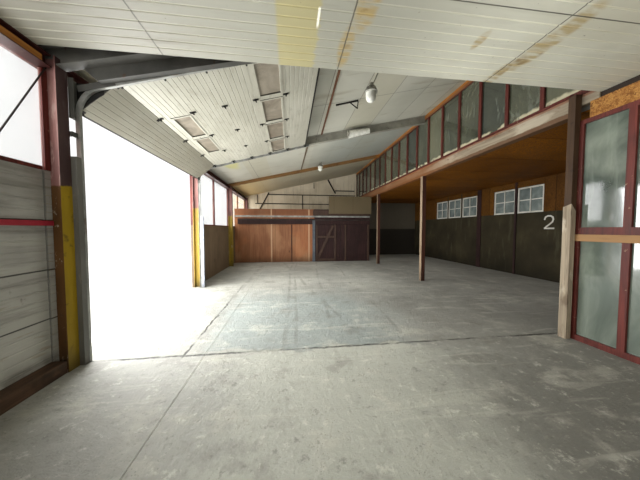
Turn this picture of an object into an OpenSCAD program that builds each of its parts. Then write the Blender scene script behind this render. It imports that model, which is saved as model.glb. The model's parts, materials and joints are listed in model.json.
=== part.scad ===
// Workshop hall of a small factory: a single-slope hall with a raised
// sectional door in its low side, a strip of high glazing over its high side,
// and a flat-roofed annex beyond that glazing.
// Plan directions: x runs from the low wall to the annex, y from the front
// wall to the rear wall, z up. The origin is on the ground under the middle.

/* [Frames] */
// Distance between two frames in the plain bays
bay = 3780; // [3400:20:4200]
// Distance between the two frames beside the door
door_bay = 4000; // [3960:10:4300]
// Plain bays before the door bay
front_bays = 2; // [2:1:3]
// Plain bays after the door bay
rear_bays = 2; // [2:1:3]
// Width of the hall, from the low wall to the middle of its glazing
hall_w = 6760; // [6400:20:7100]
// Width of the annex, from the middle of that glazing to its outer wall
annex_w = 3870; // [3600:10:4400]

/* [Floor] */
// Thickness of the concrete floor
floor_t = 150; // [100:10:250]
// Width of the cut joints in the floor
floor_joint = 6; // [4:1:12]

/* [Low wall] */
// Depth of the wall columns, square to the wall
column_d = 165; // [150:5:200]
// Width of the wall columns, along the wall
column_w = 140; // [130:5:150]
// Thickness of the column flanges
column_flange = 12; // [8:1:16]
// Thickness of the column webs
column_web = 9; // [7:1:14]
// Height of the columns and of the eave beam between them
eave_h = 3440; // [3100:10:3800]
// Depth of the eave beam
eave_beam_h = 130; // [120:10:180]
// Thickness of the wall panels
panel_t = 60; // [50:5:80]
// Height of one wall panel
wall_row_h = 540; // [500:5:560]
// Wall panels in one stack of the front bays
wall_rows = 4; // [3:1:4]
// Height of the timber kerb under the front panels
kerb_h = 80; // [60:5:120]
// Height of the plain lower wall in the rear bays
rear_sill_h = 1720; // [1500:10:1900]
// Thickness of the glass in all windows
glass_t = 8; // [6:1:12]

/* [Roof] */
// Slope of the hall roof in degrees
roof_pitch = 12.7; // [11:0.1:14]
// Height of the roof's underside over the tops of the columns
roof_over_eave = 100; // [80:5:160]
// Thickness of the roof panels
roof_t = 90; // [60:5:120]
// How far the roofs reach past the walls
overhang = 220; // [150:10:400]
// Depth of the steel rafters
rafter_h = 220; // [200:10:260]
// Width of the steel rafters
rafter_w = 120; // [100:5:130]
// Depth of the timber rafter
timber_rafter_h = 125; // [100:5:160]

/* [Low ceiling] */
// Thickness of the low ceiling, which lies on the level of the columns' tops
ceiling_t = 60; // [40:5:90]
// Width of one row of ceiling panels
ceiling_row_w = 940; // [800:10:1200]
// Length of the ceiling panels beside the low wall
ceiling_first_w = 1310; // [1000:10:1600]
// Length of the other ceiling panels
ceiling_panel_w = 1870; // [1500:10:2200]
// Distance from the end of the low ceiling to the door's near frame
ceiling_back = 220; // [150:10:400]
// Depth of the ceiling joists
joist_h = 180; // [120:10:200]

/* [Sectional door] */
// Room between the near column and the door
door_near_gap = 115; // [100:5:140]
// Room between the far column and the door
door_far_gap = 65; // [62:1:100]
// Height of one door panel
door_panel_h = 505; // [480:5:520]
// Height of the bottom door panel
door_bottom_h = 560; // [540:5:600]
// Thickness of the door panels
door_panel_t = 42; // [36:2:50]
// How far below the eave beam the upright and the sloped track would meet
track_under_beam = 116; // [80:2:140]
// How many degrees steeper than the roof the sloped tracks run
track_steeper = 2.17; // [1.5:0.01:2.6]
// Radius of the bend in the tracks
track_bend = 350; // [300:10:400]
// Depth of the track channel
track_d = 50; // [44:2:60]
// Width of the track channel
track_w = 34; // [34:2:46]

/* [High glazing] */
// Depth of the beam that carries the high glazing
beam_h = 270; // [240:10:300]
// Width of that beam
beam_w = 150; // [120:10:180]
// Distance from one bar of the high glazing to the next
high_pane_pitch = 655; // [600:5:720]
// Width of the rails and bars of the high windows
glazing_bar = 70; // [50:5:90]
// Depth of the window frames
frame_d = 70; // [60:5:90]
// Height of the timber head over the high windows
head_h = 60; // [40:5:90]

/* [Glazed screen] */
// Height of the timber strip on the screen
strip_low = 1435; // [1200:5:1500]
// Depth of that strip
strip_h = 95; // [60:5:120]
// Depth of the timber beam over the screen
screen_beam_h = 220; // [190:10:240]
// Depth of the plate between that beam and the low ceiling
plate_h = 85; // [70:5:100]
// Panes in one bay of the screen
screen_panes = 7; // [5:1:8]
// Width of the bars of the screen
screen_bar = 75; // [60:5:100]

/* [Annex] */
// Height of the annex ceiling over the underside of the glazing beam
annex_ceiling_up = 40; // [20:5:60]
// Thickness of the annex ceiling boards
board_t = 25; // [20:1:30]
// Thickness of the annex roof
annex_roof_t = 180; // [150:5:180]
// Thickness of the annex walls
annex_wall_t = 120; // [100:5:160]
// Room between the annex ceiling and the heads of its windows
annex_head_gap = 220; // [150:10:400]
// Height of the annex windows
annex_window_h = 880; // [800:10:920]
// Width of the annex windows
annex_window_w = 890; // [800:10:920]
// Distance from one annex window to the next in a group
annex_window_pitch = 980; // [960:10:1100]

/* [Rear partition] */
// Distance from the last frame to the partition
partition_back = 2680; // [2400:20:3000]
// Height of the partition
partition_h = 2600; // [2400:10:2700]
// Width of the plywood half of the partition
plywood_w = 3830; // [3500:10:4000]
// Height of the rail in front of the partition
rail_low = 2200; // [2000:10:2300]

/* [Hidden] */
$fn = 32;
eps = 1;

frames = front_bays + 1 + rear_bays;
function frame_y(i) = i <= front_bays ? i * bay : (i - 1) * bay + door_bay;
hall_l = frame_y(frames);
door_near = frame_y(front_bays);
door_far = frame_y(front_bays + 1);
timber_frame = front_bays + 2;
wall_in = column_w / 2;
wall_out = panel_t + wall_in;
annex_x = hall_w + annex_w;
x_low = -panel_t - overhang;
x_high = annex_x + annex_wall_t + overhang;
x_mid = (x_low + x_high) / 2;
y_mid = hall_l / 2;

rise = tan(roof_pitch);
roof_low = eave_h + roof_over_eave;
function roof_z(x) = roof_low + x * rise;
roof_dz = roof_t / cos(roof_pitch);
rafter_dz = rafter_h / cos(roof_pitch);
timber_dz = timber_rafter_h / cos(roof_pitch);
beam_top = eave_h + ceiling_t;
beam_low = beam_top - beam_h;
ceiling_end = door_near - ceiling_back;
window_low = kerb_h + wall_rows * wall_row_h;
eave_beam_low = eave_h - eave_beam_h;
eave_beam_d = column_d - 30;
eave_flange = 10;
eave_web = 8;
low_rail = 60;
low_sill = 40;
low_head = 120;

glaze_in = hall_w - frame_d / 2;
glaze_out = hall_w + frame_d / 2;
beam_in = hall_w - beam_w / 2;
beam_out = hall_w + beam_w / 2;
head_low = floor(roof_z(glaze_in) - head_h);
plate_low = eave_h - plate_h;
screen_top = plate_low - screen_beam_h;
end_post_w = 100;
end_post_d = 90;
end_post_in = glaze_in - 85;
end_post_y0 = door_near - 25;
end_post_y1 = end_post_y0 + end_post_d;
slender_w = 120;
slender_in = glaze_in - 65;
screen_post_w = 100;
annex_ceiling_h = beam_low + annex_ceiling_up;
annex_top = annex_ceiling_h + board_t;
annex_sill_h = annex_ceiling_h - annex_head_gap - annex_window_h;
partition_y = hall_l - partition_back;

// Puts the plan's corner at the right distance from the origin
module in_place() {
    translate([-x_mid, -y_mid, floor_t]) children();
}

// A box from one corner to the opposite corner
module box(a, b) {
    translate(a) cube(b - a);
}

// A plate whose outline is drawn in x and z, from y = y0 to y = y1
module side_plate(y0, y1) {
    translate([0, y1, 0]) rotate([90, 0, 0]) linear_extrude(y1 - y0) children();
}

// An H-section, d along its web and w across its flanges
module h_section(d, w, flange, web) {
    translate([0, -w / 2]) square([flange, w]);
    translate([d - flange, -w / 2]) square([flange, w]);
    translate([0, -web / 2]) square([d, web]);
}

// Section of a panel h high and t thick with grooves in its face at y = 0
module grooved_section(h, t, pitch, groove, depth) {
    n = floor(h / pitch);
    step = h / n;
    difference() {
        square([h, t]);
        for (i = [1:1:n - 1])
            translate([i * step, 0])
                polygon([[-groove / 2 - depth, -eps], [-groove / 2 - depth, 0], [-groove / 2, depth],
                         [groove / 2, depth], [groove / 2 + depth, 0], [groove / 2 + depth, -eps]]);
    }
}

// Openings of a window in y and z, each as [low y, high y, low z, high z]: a row
// of panes from height z0 to height z1, between stiles at the window's ends
function pane_row(y0, y1, z0, z1, stile, bar, cols) =
    let (w = (y1 - y0 - 2 * stile - (cols - 1) * bar) / cols)
    [for (i = [0:cols - 1]) let (y = y0 + stile + i * (w + bar)) [y, y + w, z0, z1]];

// A window frame in the y and z plane around its openings
module window_frame(x0, x1, y0, y1, z0, z1, holes) {
    difference() {
        box([x0, y0, z0], [x1, y1, z1]);
        for (o = holes) box([x0 - eps, o[0], o[2]], [x1 + eps, o[1], o[3]]);
    }
}

// Glass in the openings, in the middle of the frame's depth
module window_glass(x0, x1, holes) {
    mid = (x0 + x1) / 2;
    for (o = holes) box([mid - glass_t / 2, o[0], o[2]], [mid + glass_t / 2, o[1], o[3]]);
}

// Floor of the hall and the annex with its cut joints
module floor_slab() color("darkgray") in_place() {
    joint_depth = 12;
    long_joint_x = 1540;
    difference() {
        box([-panel_t, -wall_out, -floor_t], [annex_x + annex_wall_t, hall_l + wall_out, 0]);
        box([long_joint_x, -wall_out - eps, -joint_depth],
            [long_joint_x + floor_joint, hall_l + wall_out + eps, eps]);
        for (i = [1:frames - 1])
            box([-panel_t - eps, frame_y(i) + column_w, -joint_depth],
                [annex_x + annex_wall_t + eps, frame_y(i) + column_w + floor_joint, eps]);
    }
}

// Steel columns of the low wall
module wall_columns() color([0.47, 0.28, 0.27]) in_place() {
    for (i = [0:frames])
        translate([0, frame_y(i), 0])
            linear_extrude(eave_h)
                h_section(column_d, column_w, column_flange, column_web);
}

// Steel beam along the eave, in one length between each pair of columns
module eave_beam() color([0.3, 0.22, 0.21]) in_place() {
    for (i = [0:frames - 1])
        side_plate(frame_y(i) + wall_in, frame_y(i + 1) - wall_in) {
            translate([0, eave_beam_low]) square([eave_beam_d, eave_flange]);
            translate([0, eave_h - eave_flange]) square([eave_beam_d, eave_flange]);
            translate([(eave_beam_d - eave_web) / 2, eave_beam_low]) square([eave_web, eave_beam_h]);
        }
}

// Stacked ribbed panels of the low wall in the front bays
module front_wall_panels() color([0.6, 0.58, 0.53]) in_place() {
    rib_pitch = 90;
    row_gap = 2;
    for (i = [0:wall_rows - 1])
        side_plate(-wall_out, door_near + wall_in)
            translate([0, kerb_h + i * wall_row_h])
                rotate(90)
                    grooved_section(wall_row_h - row_gap, panel_t, rib_pitch, 8, 5);
}

// Timber kerb under the front panels, with a higher inner edge between the columns
module front_kerb() color([0.32, 0.24, 0.18]) in_place() {
    inner_w = 150;
    inner_up = 55;
    box([-panel_t, -wall_out, 0], [0, door_near + wall_in, kerb_h]);
    for (i = [0:front_bays - 1])
        box([0, frame_y(i) + wall_in, 0], [inner_w, frame_y(i + 1) - wall_in, kerb_h + inner_up]);
}

// Boarded lower wall of the rear bays
module rear_wall_panels() color([0.22, 0.19, 0.17]) in_place() {
    board_w = 630;
    groove = 6;
    y0 = door_far - wall_in;
    y1 = hall_l + wall_out;
    difference() {
        box([-panel_t, y0, 0], [0, y1, rear_sill_h]);
        for (y = [y0 + board_w:board_w:y1 - board_w / 2])
            box([-groove, y, -eps], [eps, y + groove, rear_sill_h + eps]);
    }
}

// Sheet above the low windows, up to the roof
module low_wall_fascia() color([0.35, 0.3, 0.28]) in_place()
    side_plate(-wall_out, hall_l + wall_out)
        polygon([[-panel_t, eave_h], [0, eave_h], [0, roof_z(0)], [-panel_t, roof_z(-panel_t)]]);

// Ends of the low window in bay i
function low_y0(i) =
    i == 0 ? -wall_out : i == front_bays + 1 ? door_far - wall_in : frame_y(i);
function low_y1(i) =
    i == front_bays - 1 ? door_near + wall_in : i == frames - 1 ? hall_l + wall_out : frame_y(i + 1);
function low_z0(i) = i < front_bays ? window_low : rear_sill_h;
function low_openings(i) =
    pane_row(low_y0(i), low_y1(i), low_z0(i) + low_sill, eave_h - low_head, low_rail, low_rail, 2);
low_bays = [for (i = [0:frames - 1]) if (i != front_bays) i];

// Window frames of the low wall
module low_window_frames() color([0.45, 0.2, 0.17]) in_place()
    for (i = low_bays)
        window_frame(-panel_t, 0, low_y0(i), low_y1(i), low_z0(i), eave_h, low_openings(i));

// Glass of the low wall
module low_window_glass() color([0.8, 0.88, 0.9, 0.4]) in_place()
    for (i = low_bays)
        window_glass(-panel_t, 0, low_openings(i));

// A steep round rod from the web of a column's head down to a lug on top of the
// wall panels. It is drawn for a column at y = 0, and runs towards smaller y.
module brace() {
    rod_d = 16;
    rod_x = column_flange + 20;
    head_down = 76;
    foot_y = -620;
    lug_w = 40;
    lug_h = 60;
    y_web = -column_web / 2;
    z_head = eave_h - head_down;
    z_foot = window_low - lug_h / 2;
    past = 60;
    lean = atan2(y_web - foot_y, z_head - z_foot);
    intersection() {
        translate([rod_x, foot_y, z_foot])
            rotate([-lean, 0, 0])
                cylinder(h = norm([y_web - foot_y, z_head - z_foot]) + past, d = rod_d, $fn = 16);
        box([rod_x - rod_d, foot_y - past, z_foot], [rod_x + rod_d, y_web, roof_low]);
    }
    box([0, foot_y - lug_w / 2, window_low - lug_h], [rod_x + rod_d, foot_y + lug_w / 2, window_low]);
}

// Rods on both sides of the front columns, as far as the front bays reach
module brace_rods() color([0.35, 0.33, 0.32]) in_place()
    for (i = [0:front_bays])
        translate([0, frame_y(i), 0]) {
            if (i > 0) brace();
            if (i < front_bays) mirror([0, 1, 0]) brace();
        }

// Places of the raised door
door_y0 = door_near + wall_in + door_near_gap;
door_y1 = door_far - wall_in - door_far_gap;
door_w = door_y1 - door_y0;
track_gap = 5;
track_x = column_d + track_gap + track_d / 2;
track_clear = 8;
track_wall = 4;
roller_clear = 0.3;
roller_offset = 25;
first_joint = 445;
door_panels = 6;
track_pitch = roof_pitch + track_steeper;
track_corner_h = eave_beam_low - track_under_beam;
track_dir = [cos(track_pitch), sin(track_pitch)];
track_corner = [track_x, track_corner_h];
bend_run = track_bend * tan((90 - track_pitch) / 2);
track_end = first_joint + (door_panels - 1) * door_panel_h + 120;
bend_centre = [track_x + track_bend, track_corner_h - bend_run];
function joint_on_slope(i) = track_corner + (first_joint + (i - 1) * door_panel_h) * track_dir;

// The point on the track that lies a bottom panel's height from joint p: on
// the upright, or else where a circle about p meets the bend
function upright_point(p) = [track_x, p[1] - sqrt(pow(door_bottom_h, 2) - pow(p[0] - track_x, 2))];
function bend_point(p) =
    let (d = norm(p - bend_centre),
         u = (p - bend_centre) / d,
         a = (pow(track_bend, 2) - pow(door_bottom_h, 2) + d * d) / (2 * d))
    bend_centre + a * u + sqrt(pow(track_bend, 2) - a * a) * [-u[1], u[0]];
function bottom_point(p) = upright_point(p)[1] <= bend_centre[1] ? upright_point(p) : bend_point(p);
door_foot = bottom_point(joint_on_slope(1));
function joint(i) = i == 0 ? door_foot : joint_on_slope(i);
function panel_h(i) = i == 1 ? door_bottom_h : door_panel_h;
function panel_tilt(i) =
    let (d = joint(i) - joint(i - 1)) atan2(d[1], d[0]);

// Dark posts that guard the door's uprights, each up to its own height below
// the bends
module guide_guards() color([0.33, 0.34, 0.34]) in_place() {
    near_below_bend = 495;
    far_below_bend = 975;
    guard_w = 65;
    near_guard_h = track_corner_h - bend_run - near_below_bend;
    far_guard_h = track_corner_h - bend_run - far_below_bend;
    box([column_d - 55, door_near + wall_in, 0],
        [track_x + track_d / 2, door_y0 - track_clear - track_w - track_gap, near_guard_h]);
    box([track_x + track_d / 2, door_y1 - 5, 0],
        [track_x + track_d / 2 + guard_w, door_far - wall_in, far_guard_h]);
}

// Section of the track channel, d deep about x = 0 and w wide, open at y = w
module track_section() {
    difference() {
        translate([-track_d / 2, 0]) square([track_d, track_w]);
        translate([-track_d / 2 + track_wall, track_wall]) square([track_d - 2 * track_wall, track_w]);
    }
}

// Places the near track as drawn and the far one mirrored
module both_tracks() {
    translate([0, door_y0 - track_clear - track_w, 0]) children();
    translate([0, door_y1 + track_clear + track_w, 0]) mirror([0, 1, 0]) children();
}

// Upright and sloped lengths of the two tracks
module door_tracks() color([0.55, 0.56, 0.55]) in_place()
    both_tracks() {
        translate([track_x, 0, 0])
            linear_extrude(track_corner_h - bend_run) track_section();
        translate([track_corner[0], 0, track_corner[1]])
            rotate([0, 90 - track_pitch, 0])
                translate([0, 0, bend_run])
                    linear_extrude(track_end - bend_run)
                        track_section();
    }

// Bends between them
module door_track_bends() color([0.5, 0.51, 0.5]) in_place()
    both_tracks()
        translate([track_x + track_bend, 0, track_corner_h - bend_run])
            mirror([1, 0, 0])
                rotate([90, 0, 0])
                    rotate_extrude(angle = 90 - track_pitch, $fn = 96)
                        translate([track_bend, 0])
                            mirror([0, 1]) track_section();

// Bent plate along the underside of the rafter over the door's near side. Its
// low end is cut on a slant, and its turned lower edge carries the near track.
module near_track_carrier() {
    plate_t = 6;
    lap = 45;
    below_roof = 366;
    slant_x = 310;
    slant_run = 164;
    y0 = door_near + rafter_w / 2;
    x_end = track_corner[0] + track_end * track_dir[0];
    function up(x) = roof_z(x) - rafter_dz + lap;
    function low(x) = roof_z(x) - below_roof;
    foot_x = slant_x + slant_run;
    side_plate(y0, y0 + plate_t)
        polygon([[slant_x, up(slant_x)], [foot_x, low(foot_x)], [x_end, low(x_end)], [x_end, up(x_end)]]);
    side_plate(y0, door_y0 - track_clear - track_w)
        polygon([[foot_x, low(foot_x)], [x_end, low(x_end)], [x_end, low(x_end) + plate_t],
                 [foot_x, low(foot_x) + plate_t]]);
}

// What holds the tracks: the plate under the near rafter, straps from the roof
// to the far track, flat brackets over the bends, and clips on the uprights
module track_hangers() color([0.4, 0.4, 0.38]) in_place() {
    strap_t = 6;
    strap_w = 40;
    strap_below = 20;
    strap_first = 1500;
    strap_pitch = 1200;
    straps = 2;
    near_track_carrier();
    for (s = [strap_first:strap_pitch:strap_first + (straps - 1) * strap_pitch]) {
        p = track_corner + s * track_dir;
        y = door_y1 + track_clear + track_w;
        side_plate(y, y + strap_t)
            polygon([[p[0], p[1] - strap_below], [p[0] + strap_w, p[1] - strap_below],
                     [p[0] + strap_w, roof_z(p[0] + strap_w)], [p[0], roof_z(p[0])]]);
    }
    bracket_start = 20;
    bracket_low = -18;
    bracket_h = 72;
    bracket_past = 160;
    both_tracks()
        translate([track_corner[0], 0, track_corner[1]])
            rotate([0, -track_pitch, 0])
                box([bracket_start, -strap_t, bracket_low],
                    [bend_run + bracket_past, 0, bracket_low + bracket_h]);
    clip_h = 60;
    clip_below_bend = 275;
    clip_lap = 20;
    clip_z = track_corner_h - bend_run - clip_below_bend;
    box([column_d - clip_lap, door_near + wall_in, clip_z],
        [track_x, door_y0 - track_clear - track_w, clip_z + clip_h]);
    box([column_d - clip_lap, door_y1 + track_clear + track_w, clip_z],
        [track_x, door_far - wall_in, clip_z + clip_h]);
}

divisions = 4;
division_w = door_w / divisions;
stile_w = 160;
function division_y(k) = door_y0 + k * division_w;
// Distances of the panes in door panel i from its lower and its upper edge,
// and their height
function pane_low(i) = i == 2 ? 165 : 88;
function pane_above(i) = i == 2 ? 90 : 83;
function pane_h(i) = panel_h(i) - pane_low(i) - pane_above(i);
function pane_divisions(i) = i == 2 ? [1, 2] : i == 5 ? [0, 1, 2, 3] : [];

// Puts a child drawn along one door panel in its place
module on_panel(i) {
    p = joint(i - 1);
    translate([p[0], 0, p[1]]) rotate([0, -panel_tilt(i), 0]) children();
}

// One ribbed door panel with its panes cut through
module door_panel(i) color([0.8, 0.79, 0.73]) in_place() on_panel(i) {
    gap = 2;
    rim = 32;
    rim_t = 9;
    difference() {
        union() {
            side_plate(door_y0, door_y1)
                translate([gap, roller_offset])
                    grooved_section(panel_h(i) - 2 * gap, door_panel_t, 70, 6, 4);
            for (k = pane_divisions(i))
                box([pane_low(i) - rim, division_y(k) + stile_w / 2 - rim, roller_offset - rim_t],
                    [pane_low(i) + pane_h(i) + rim, division_y(k + 1) - stile_w / 2 + rim,
                     roller_offset + 10]);
        }
        for (k = pane_divisions(i))
            box([pane_low(i), division_y(k) + stile_w / 2, -eps],
                [pane_low(i) + pane_h(i), division_y(k + 1) - stile_w / 2,
                 roller_offset + door_panel_t + eps]);
    }
}
module door_panel_1() door_panel(1);
module door_panel_2() door_panel(2);
module door_panel_3() door_panel(3);
module door_panel_4() door_panel(4);
module door_panel_5() door_panel(5);
module door_panel_6() door_panel(6);

// Panes of the door
module door_panes() color([0.5, 0.47, 0.43, 0.8]) in_place()
    for (i = [1:door_panels]) on_panel(i)
        for (k = pane_divisions(i))
            box([pane_low(i), division_y(k) + stile_w / 2, roller_offset + 12],
                [pane_low(i) + pane_h(i), division_y(k + 1) - stile_w / 2,
                 roller_offset + 12 + glass_t]);

// Section of one hinge leaf, which stands off the knuckle and lies on a panel
module leaf_section() {
    leaf = 48;
    leaf_t = 5;
    web = 12;
    translate([0, roller_offset - leaf_t]) square([leaf, leaf_t]);
    square([web, roller_offset]);
}

// A hinge at joint i in the door, w wide and centred at y
module door_hinge(i, y, w) {
    knuckle_r = 10;
    translate([joint(i)[0], y + w / 2, joint(i)[1]])
        rotate([90, 0, 0])
            linear_extrude(w) {
                circle(r = knuckle_r);
                if (i > 0) rotate(panel_tilt(i)) mirror([1, 0]) leaf_section();
                if (i < door_panels) rotate(panel_tilt(i + 1)) leaf_section();
            }
}

// Hinges between the door panels, and the rollers that run in the tracks
module door_hinges() color([0.12, 0.12, 0.12]) in_place() {
    hinge_w = 50;
    shaft_r = 6;
    roller_r = track_d / 2 - track_wall - roller_clear;
    roller_w = 18;
    roller_y = 18;
    for (i = [1:door_panels - 1], k = [1:divisions - 1])
        door_hinge(i, division_y(k), hinge_w);
    for (i = [0:door_panels], far = [0, 1]) {
        y_end = far == 0 ? door_y0 : door_y1;
        out = far == 0 ? -1 : 1;
        door_hinge(i, y_end - out * (hinge_w / 2 + 5), hinge_w);
        p = joint(i);
        translate([p[0], y_end, p[1]]) rotate([-90 * out, 0, 0]) {
            translate([0, 0, -hinge_w / 2]) cylinder(r = shaft_r, h = hinge_w / 2 + roller_y);
            translate([0, 0, roller_y]) cylinder(r = roller_r, h = roller_w);
        }
    }
}

// Roof panels of the hall, one bay each, with ribs along the slope
module roof_panels() color([0.68, 0.67, 0.61]) in_place() {
    gap = 2;
    verge = 150;
    rib_w = 50;
    rib_h = 35;
    ribs = 4;
    x0 = x_low;
    x1 = glaze_out + overhang;
    for (i = [0:frames - 1]) {
        y0 = i == 0 ? -wall_out - verge : frame_y(i) + gap;
        y1 = i == frames - 1 ? hall_l + wall_out + verge : frame_y(i + 1) - gap;
        side_plate(y0, y1)
            polygon([[x0, roof_z(x0)], [x1, roof_z(x1)],
                     [x1, roof_z(x1) + roof_dz], [x0, roof_z(x0) + roof_dz]]);
        for (k = [0:ribs - 1]) {
            y = y0 + (k + 0.5) * (y1 - y0) / ribs - rib_w / 2;
            side_plate(y, y + rib_w)
                polygon([[x0, roof_z(x0) + roof_dz / 2], [x1, roof_z(x1) + roof_dz / 2],
                         [x1, roof_z(x1) + roof_dz + rib_h], [x0, roof_z(x0) + roof_dz + rib_h]]);
        }
    }
}

// Steel rafters, coped over the columns. The frame near the rear has a timber
// one instead, and at the rear wall the wall itself carries the roof.
module steel_rafters() color([0.5, 0.49, 0.45]) in_place() {
    flange = 12;
    web = 9;
    for (i = [0:frames - 1])
        if (i != timber_frame)
            difference() {
                translate([0, frame_y(i), roof_low])
                    intersection() {
                        rotate([0, -roof_pitch, 0])
                            rotate([90, 0, 90])
                                translate([0, -rafter_h, -rafter_h])
                                    linear_extrude(glaze_in / cos(roof_pitch) + 2 * rafter_h)
                                        rotate(90) h_section(rafter_h, rafter_w, flange, web);
                        box([0, -rafter_w, -2 * rafter_h], [glaze_in, rafter_w, glaze_in]);
                    }
                box([-eps, frame_y(i) - rafter_w, roof_low - 2 * rafter_h],
                    [column_d, frame_y(i) + rafter_w, eave_h]);
            }
}

// Timber of the building: one rafter, the packing in the eave beam, the head
// over the high windows, and the beam and strip of the glazed screen
module timber_beams() color([0.72, 0.48, 0.25]) in_place() {
    rafter_half = 45;
    pack_end = 100;
    pack_h = 60;
    strip_t = 20;
    beam_short = 135;
    y = frame_y(timber_frame);
    difference() {
        side_plate(y - rafter_half, y + rafter_half)
            polygon([[0, roof_z(0) - timber_dz], [glaze_in, roof_z(glaze_in) - timber_dz],
                     [glaze_in, roof_z(glaze_in)], [0, roof_z(0)]]);
        box([-eps, y - rafter_w, roof_low - rafter_h], [column_d, y + rafter_w, eave_h]);
    }
    for (i = [0:front_bays - 1])
        box([(eave_beam_d + eave_web) / 2, frame_y(i) + wall_in + pack_end, eave_beam_low + eave_flange],
            [eave_beam_d, frame_y(i + 1) - wall_in - pack_end, eave_beam_low + eave_flange + pack_h]);
    side_plate(-wall_in, hall_l + wall_in)
        polygon([[glaze_in, head_low], [glaze_out, head_low],
                 [glaze_out, roof_z(glaze_out)], [glaze_in, roof_z(glaze_in)]]);
    box([glaze_in, -wall_in, screen_top], [beam_out, door_near - beam_short, plate_low]);
    for (i = [0:front_bays - 1])
        box([glaze_in - strip_t, screen_y0(i), strip_low], [glaze_in, screen_y1(i), strip_low + strip_h]);
}

// Flat ribbed ceiling over the front bays, cut round the rafters
module ceiling_panels() color([0.79, 0.78, 0.73]) in_place() {
    gap = 3;
    notch_gap = 10;
    narrowest = 300;
    columns_x = concat([0], [for (x = [ceiling_first_w:ceiling_panel_w:beam_out - narrowest]) x],
                       [beam_out]);
    notch_x = (beam_top + 2 * notch_gap - roof_low + rafter_dz) / rise;
    rows = ceil((ceiling_end + wall_in) / ceiling_row_w);
    difference() {
        for (r = [0:rows - 1], c = [0:len(columns_x) - 2]) {
            y1 = ceiling_end - r * ceiling_row_w;
            y0 = max(-wall_in, y1 - ceiling_row_w);
            x0 = columns_x[c] + (c == 0 ? 0 : gap);
            translate([x0, y0 + gap, eave_h])
                rotate([90, 0, 90])
                    linear_extrude(columns_x[c + 1] - x0)
                        grooved_section(y1 - y0 - gap, ceiling_t, 100, 10, 5);
        }
        for (i = [0:front_bays - 1])
            box([-eps, frame_y(i) - rafter_w / 2 - notch_gap, eave_h - eps],
                [notch_x, frame_y(i) + rafter_w / 2 + notch_gap, beam_top + eps]);
    }
}

// Joists that the ceiling panels hang from, and the plate that carries the
// panels along the glazed screen
module ceiling_joists() color([0.6, 0.45, 0.3]) in_place() {
    joist_t = 60;
    set_back = 40;
    rows = floor((ceiling_end - wall_in) / ceiling_row_w);
    x_full = (beam_top + joist_h - roof_low) / rise;
    box([glaze_in + set_back, -wall_in, plate_low], [beam_out, ceiling_end, eave_h]);
    for (r = [0:rows]) {
        y1 = r == 0 ? ceiling_end : ceiling_end - r * ceiling_row_w + joist_t / 2;
        side_plate(y1 - joist_t, y1)
            polygon([[0, beam_top], [glaze_in, beam_top], [glaze_in, beam_top + joist_h],
                     [x_full, beam_top + joist_h], [0, roof_z(0)]]);
    }
}

// Posts of the screen, the post at its end, which rises to the high glazing, and
// the slender posts under the glazing beam
module hall_posts() color([0.26, 0.2, 0.17]) in_place() {
    for (i = [0:front_bays - 1])
        box([hall_w - screen_post_w / 2, screen_post_y0(i), 0],
            [hall_w + screen_post_w / 2, screen_post_y0(i) + screen_post_w, screen_top]);
    box([end_post_in, end_post_y0, 0], [end_post_in + end_post_w, end_post_y1, beam_top]);
    for (i = [front_bays + 1:frames]) {
        y0 = i == frames ? hall_l + wall_in - slender_w : frame_y(i) - slender_w / 2;
        box([slender_in, y0, 0], [slender_in + slender_w, y0 + slender_w, beam_low]);
    }
}

// Beam that carries the high glazing from the end post to the rear wall, and
// its shallow end, which reaches past that post to the low ceiling
module glazing_beam() color([0.55, 0.51, 0.46]) in_place() {
    box([beam_in, end_post_y1, beam_low], [beam_out, hall_l + wall_in, beam_top]);
    box([end_post_in + end_post_w, ceiling_end, plate_low], [beam_out, end_post_y1, beam_top]);
}

// The high windows are one band, whose bars don't follow the frames
high_y0 = -wall_in;
high_y1 = hall_l + wall_in;
high_first_bar = 220;
narrowest_pane = 80;
high_bars = concat(
    [high_y0 + glazing_bar / 2],
    [for (y = [high_first_bar:high_pane_pitch:high_y1 - 1.5 * glazing_bar - narrowest_pane]) y],
    [high_y1 - glazing_bar / 2]);
high_openings = [for (i = [0:len(high_bars) - 2])
    [high_bars[i] + glazing_bar / 2, high_bars[i + 1] - glazing_bar / 2,
     beam_top + glazing_bar, head_low - glazing_bar]];

// Frame of the high windows
module high_window_frames() color([0.42, 0.18, 0.16]) in_place()
    window_frame(glaze_in, glaze_out, high_y0, high_y1, beam_top, head_low, high_openings);

// Glass of the high windows
module high_window_glass() color([0.31, 0.35, 0.33, 0.7]) in_place()
    window_glass(glaze_in, glaze_out, high_openings);

screen_stile = 50;
screen_sill = 80;
screen_rail = 100;
screen_head = 60;
function screen_post_y0(i) = i == 0 ? -wall_in : frame_y(i) - screen_post_w / 2;
function screen_y0(i) = screen_post_y0(i) + screen_post_w;
function screen_y1(i) = i == front_bays - 1 ? end_post_y0 : screen_post_y0(i + 1);
function screen_row(i, z0, z1) =
    pane_row(screen_y0(i), screen_y1(i), z0, z1, screen_stile, screen_bar, screen_panes);
function screen_openings(i) =
    concat(screen_row(i, screen_sill, strip_low),
           screen_row(i, strip_low + strip_h + screen_rail, screen_top - screen_head));

// Frames of the glazed screen, with a middle rail that the strip lies on
module screen_frames() color([0.42, 0.18, 0.16]) in_place()
    for (i = [0:front_bays - 1])
        window_frame(glaze_in, glaze_out, screen_y0(i), screen_y1(i), 0, screen_top, screen_openings(i));

// Glass of the glazed screen
module screen_glass() color([0.45, 0.5, 0.5, 0.5]) in_place()
    for (i = [0:front_bays - 1])
        window_glass(glaze_in, glaze_out, screen_openings(i));

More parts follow.
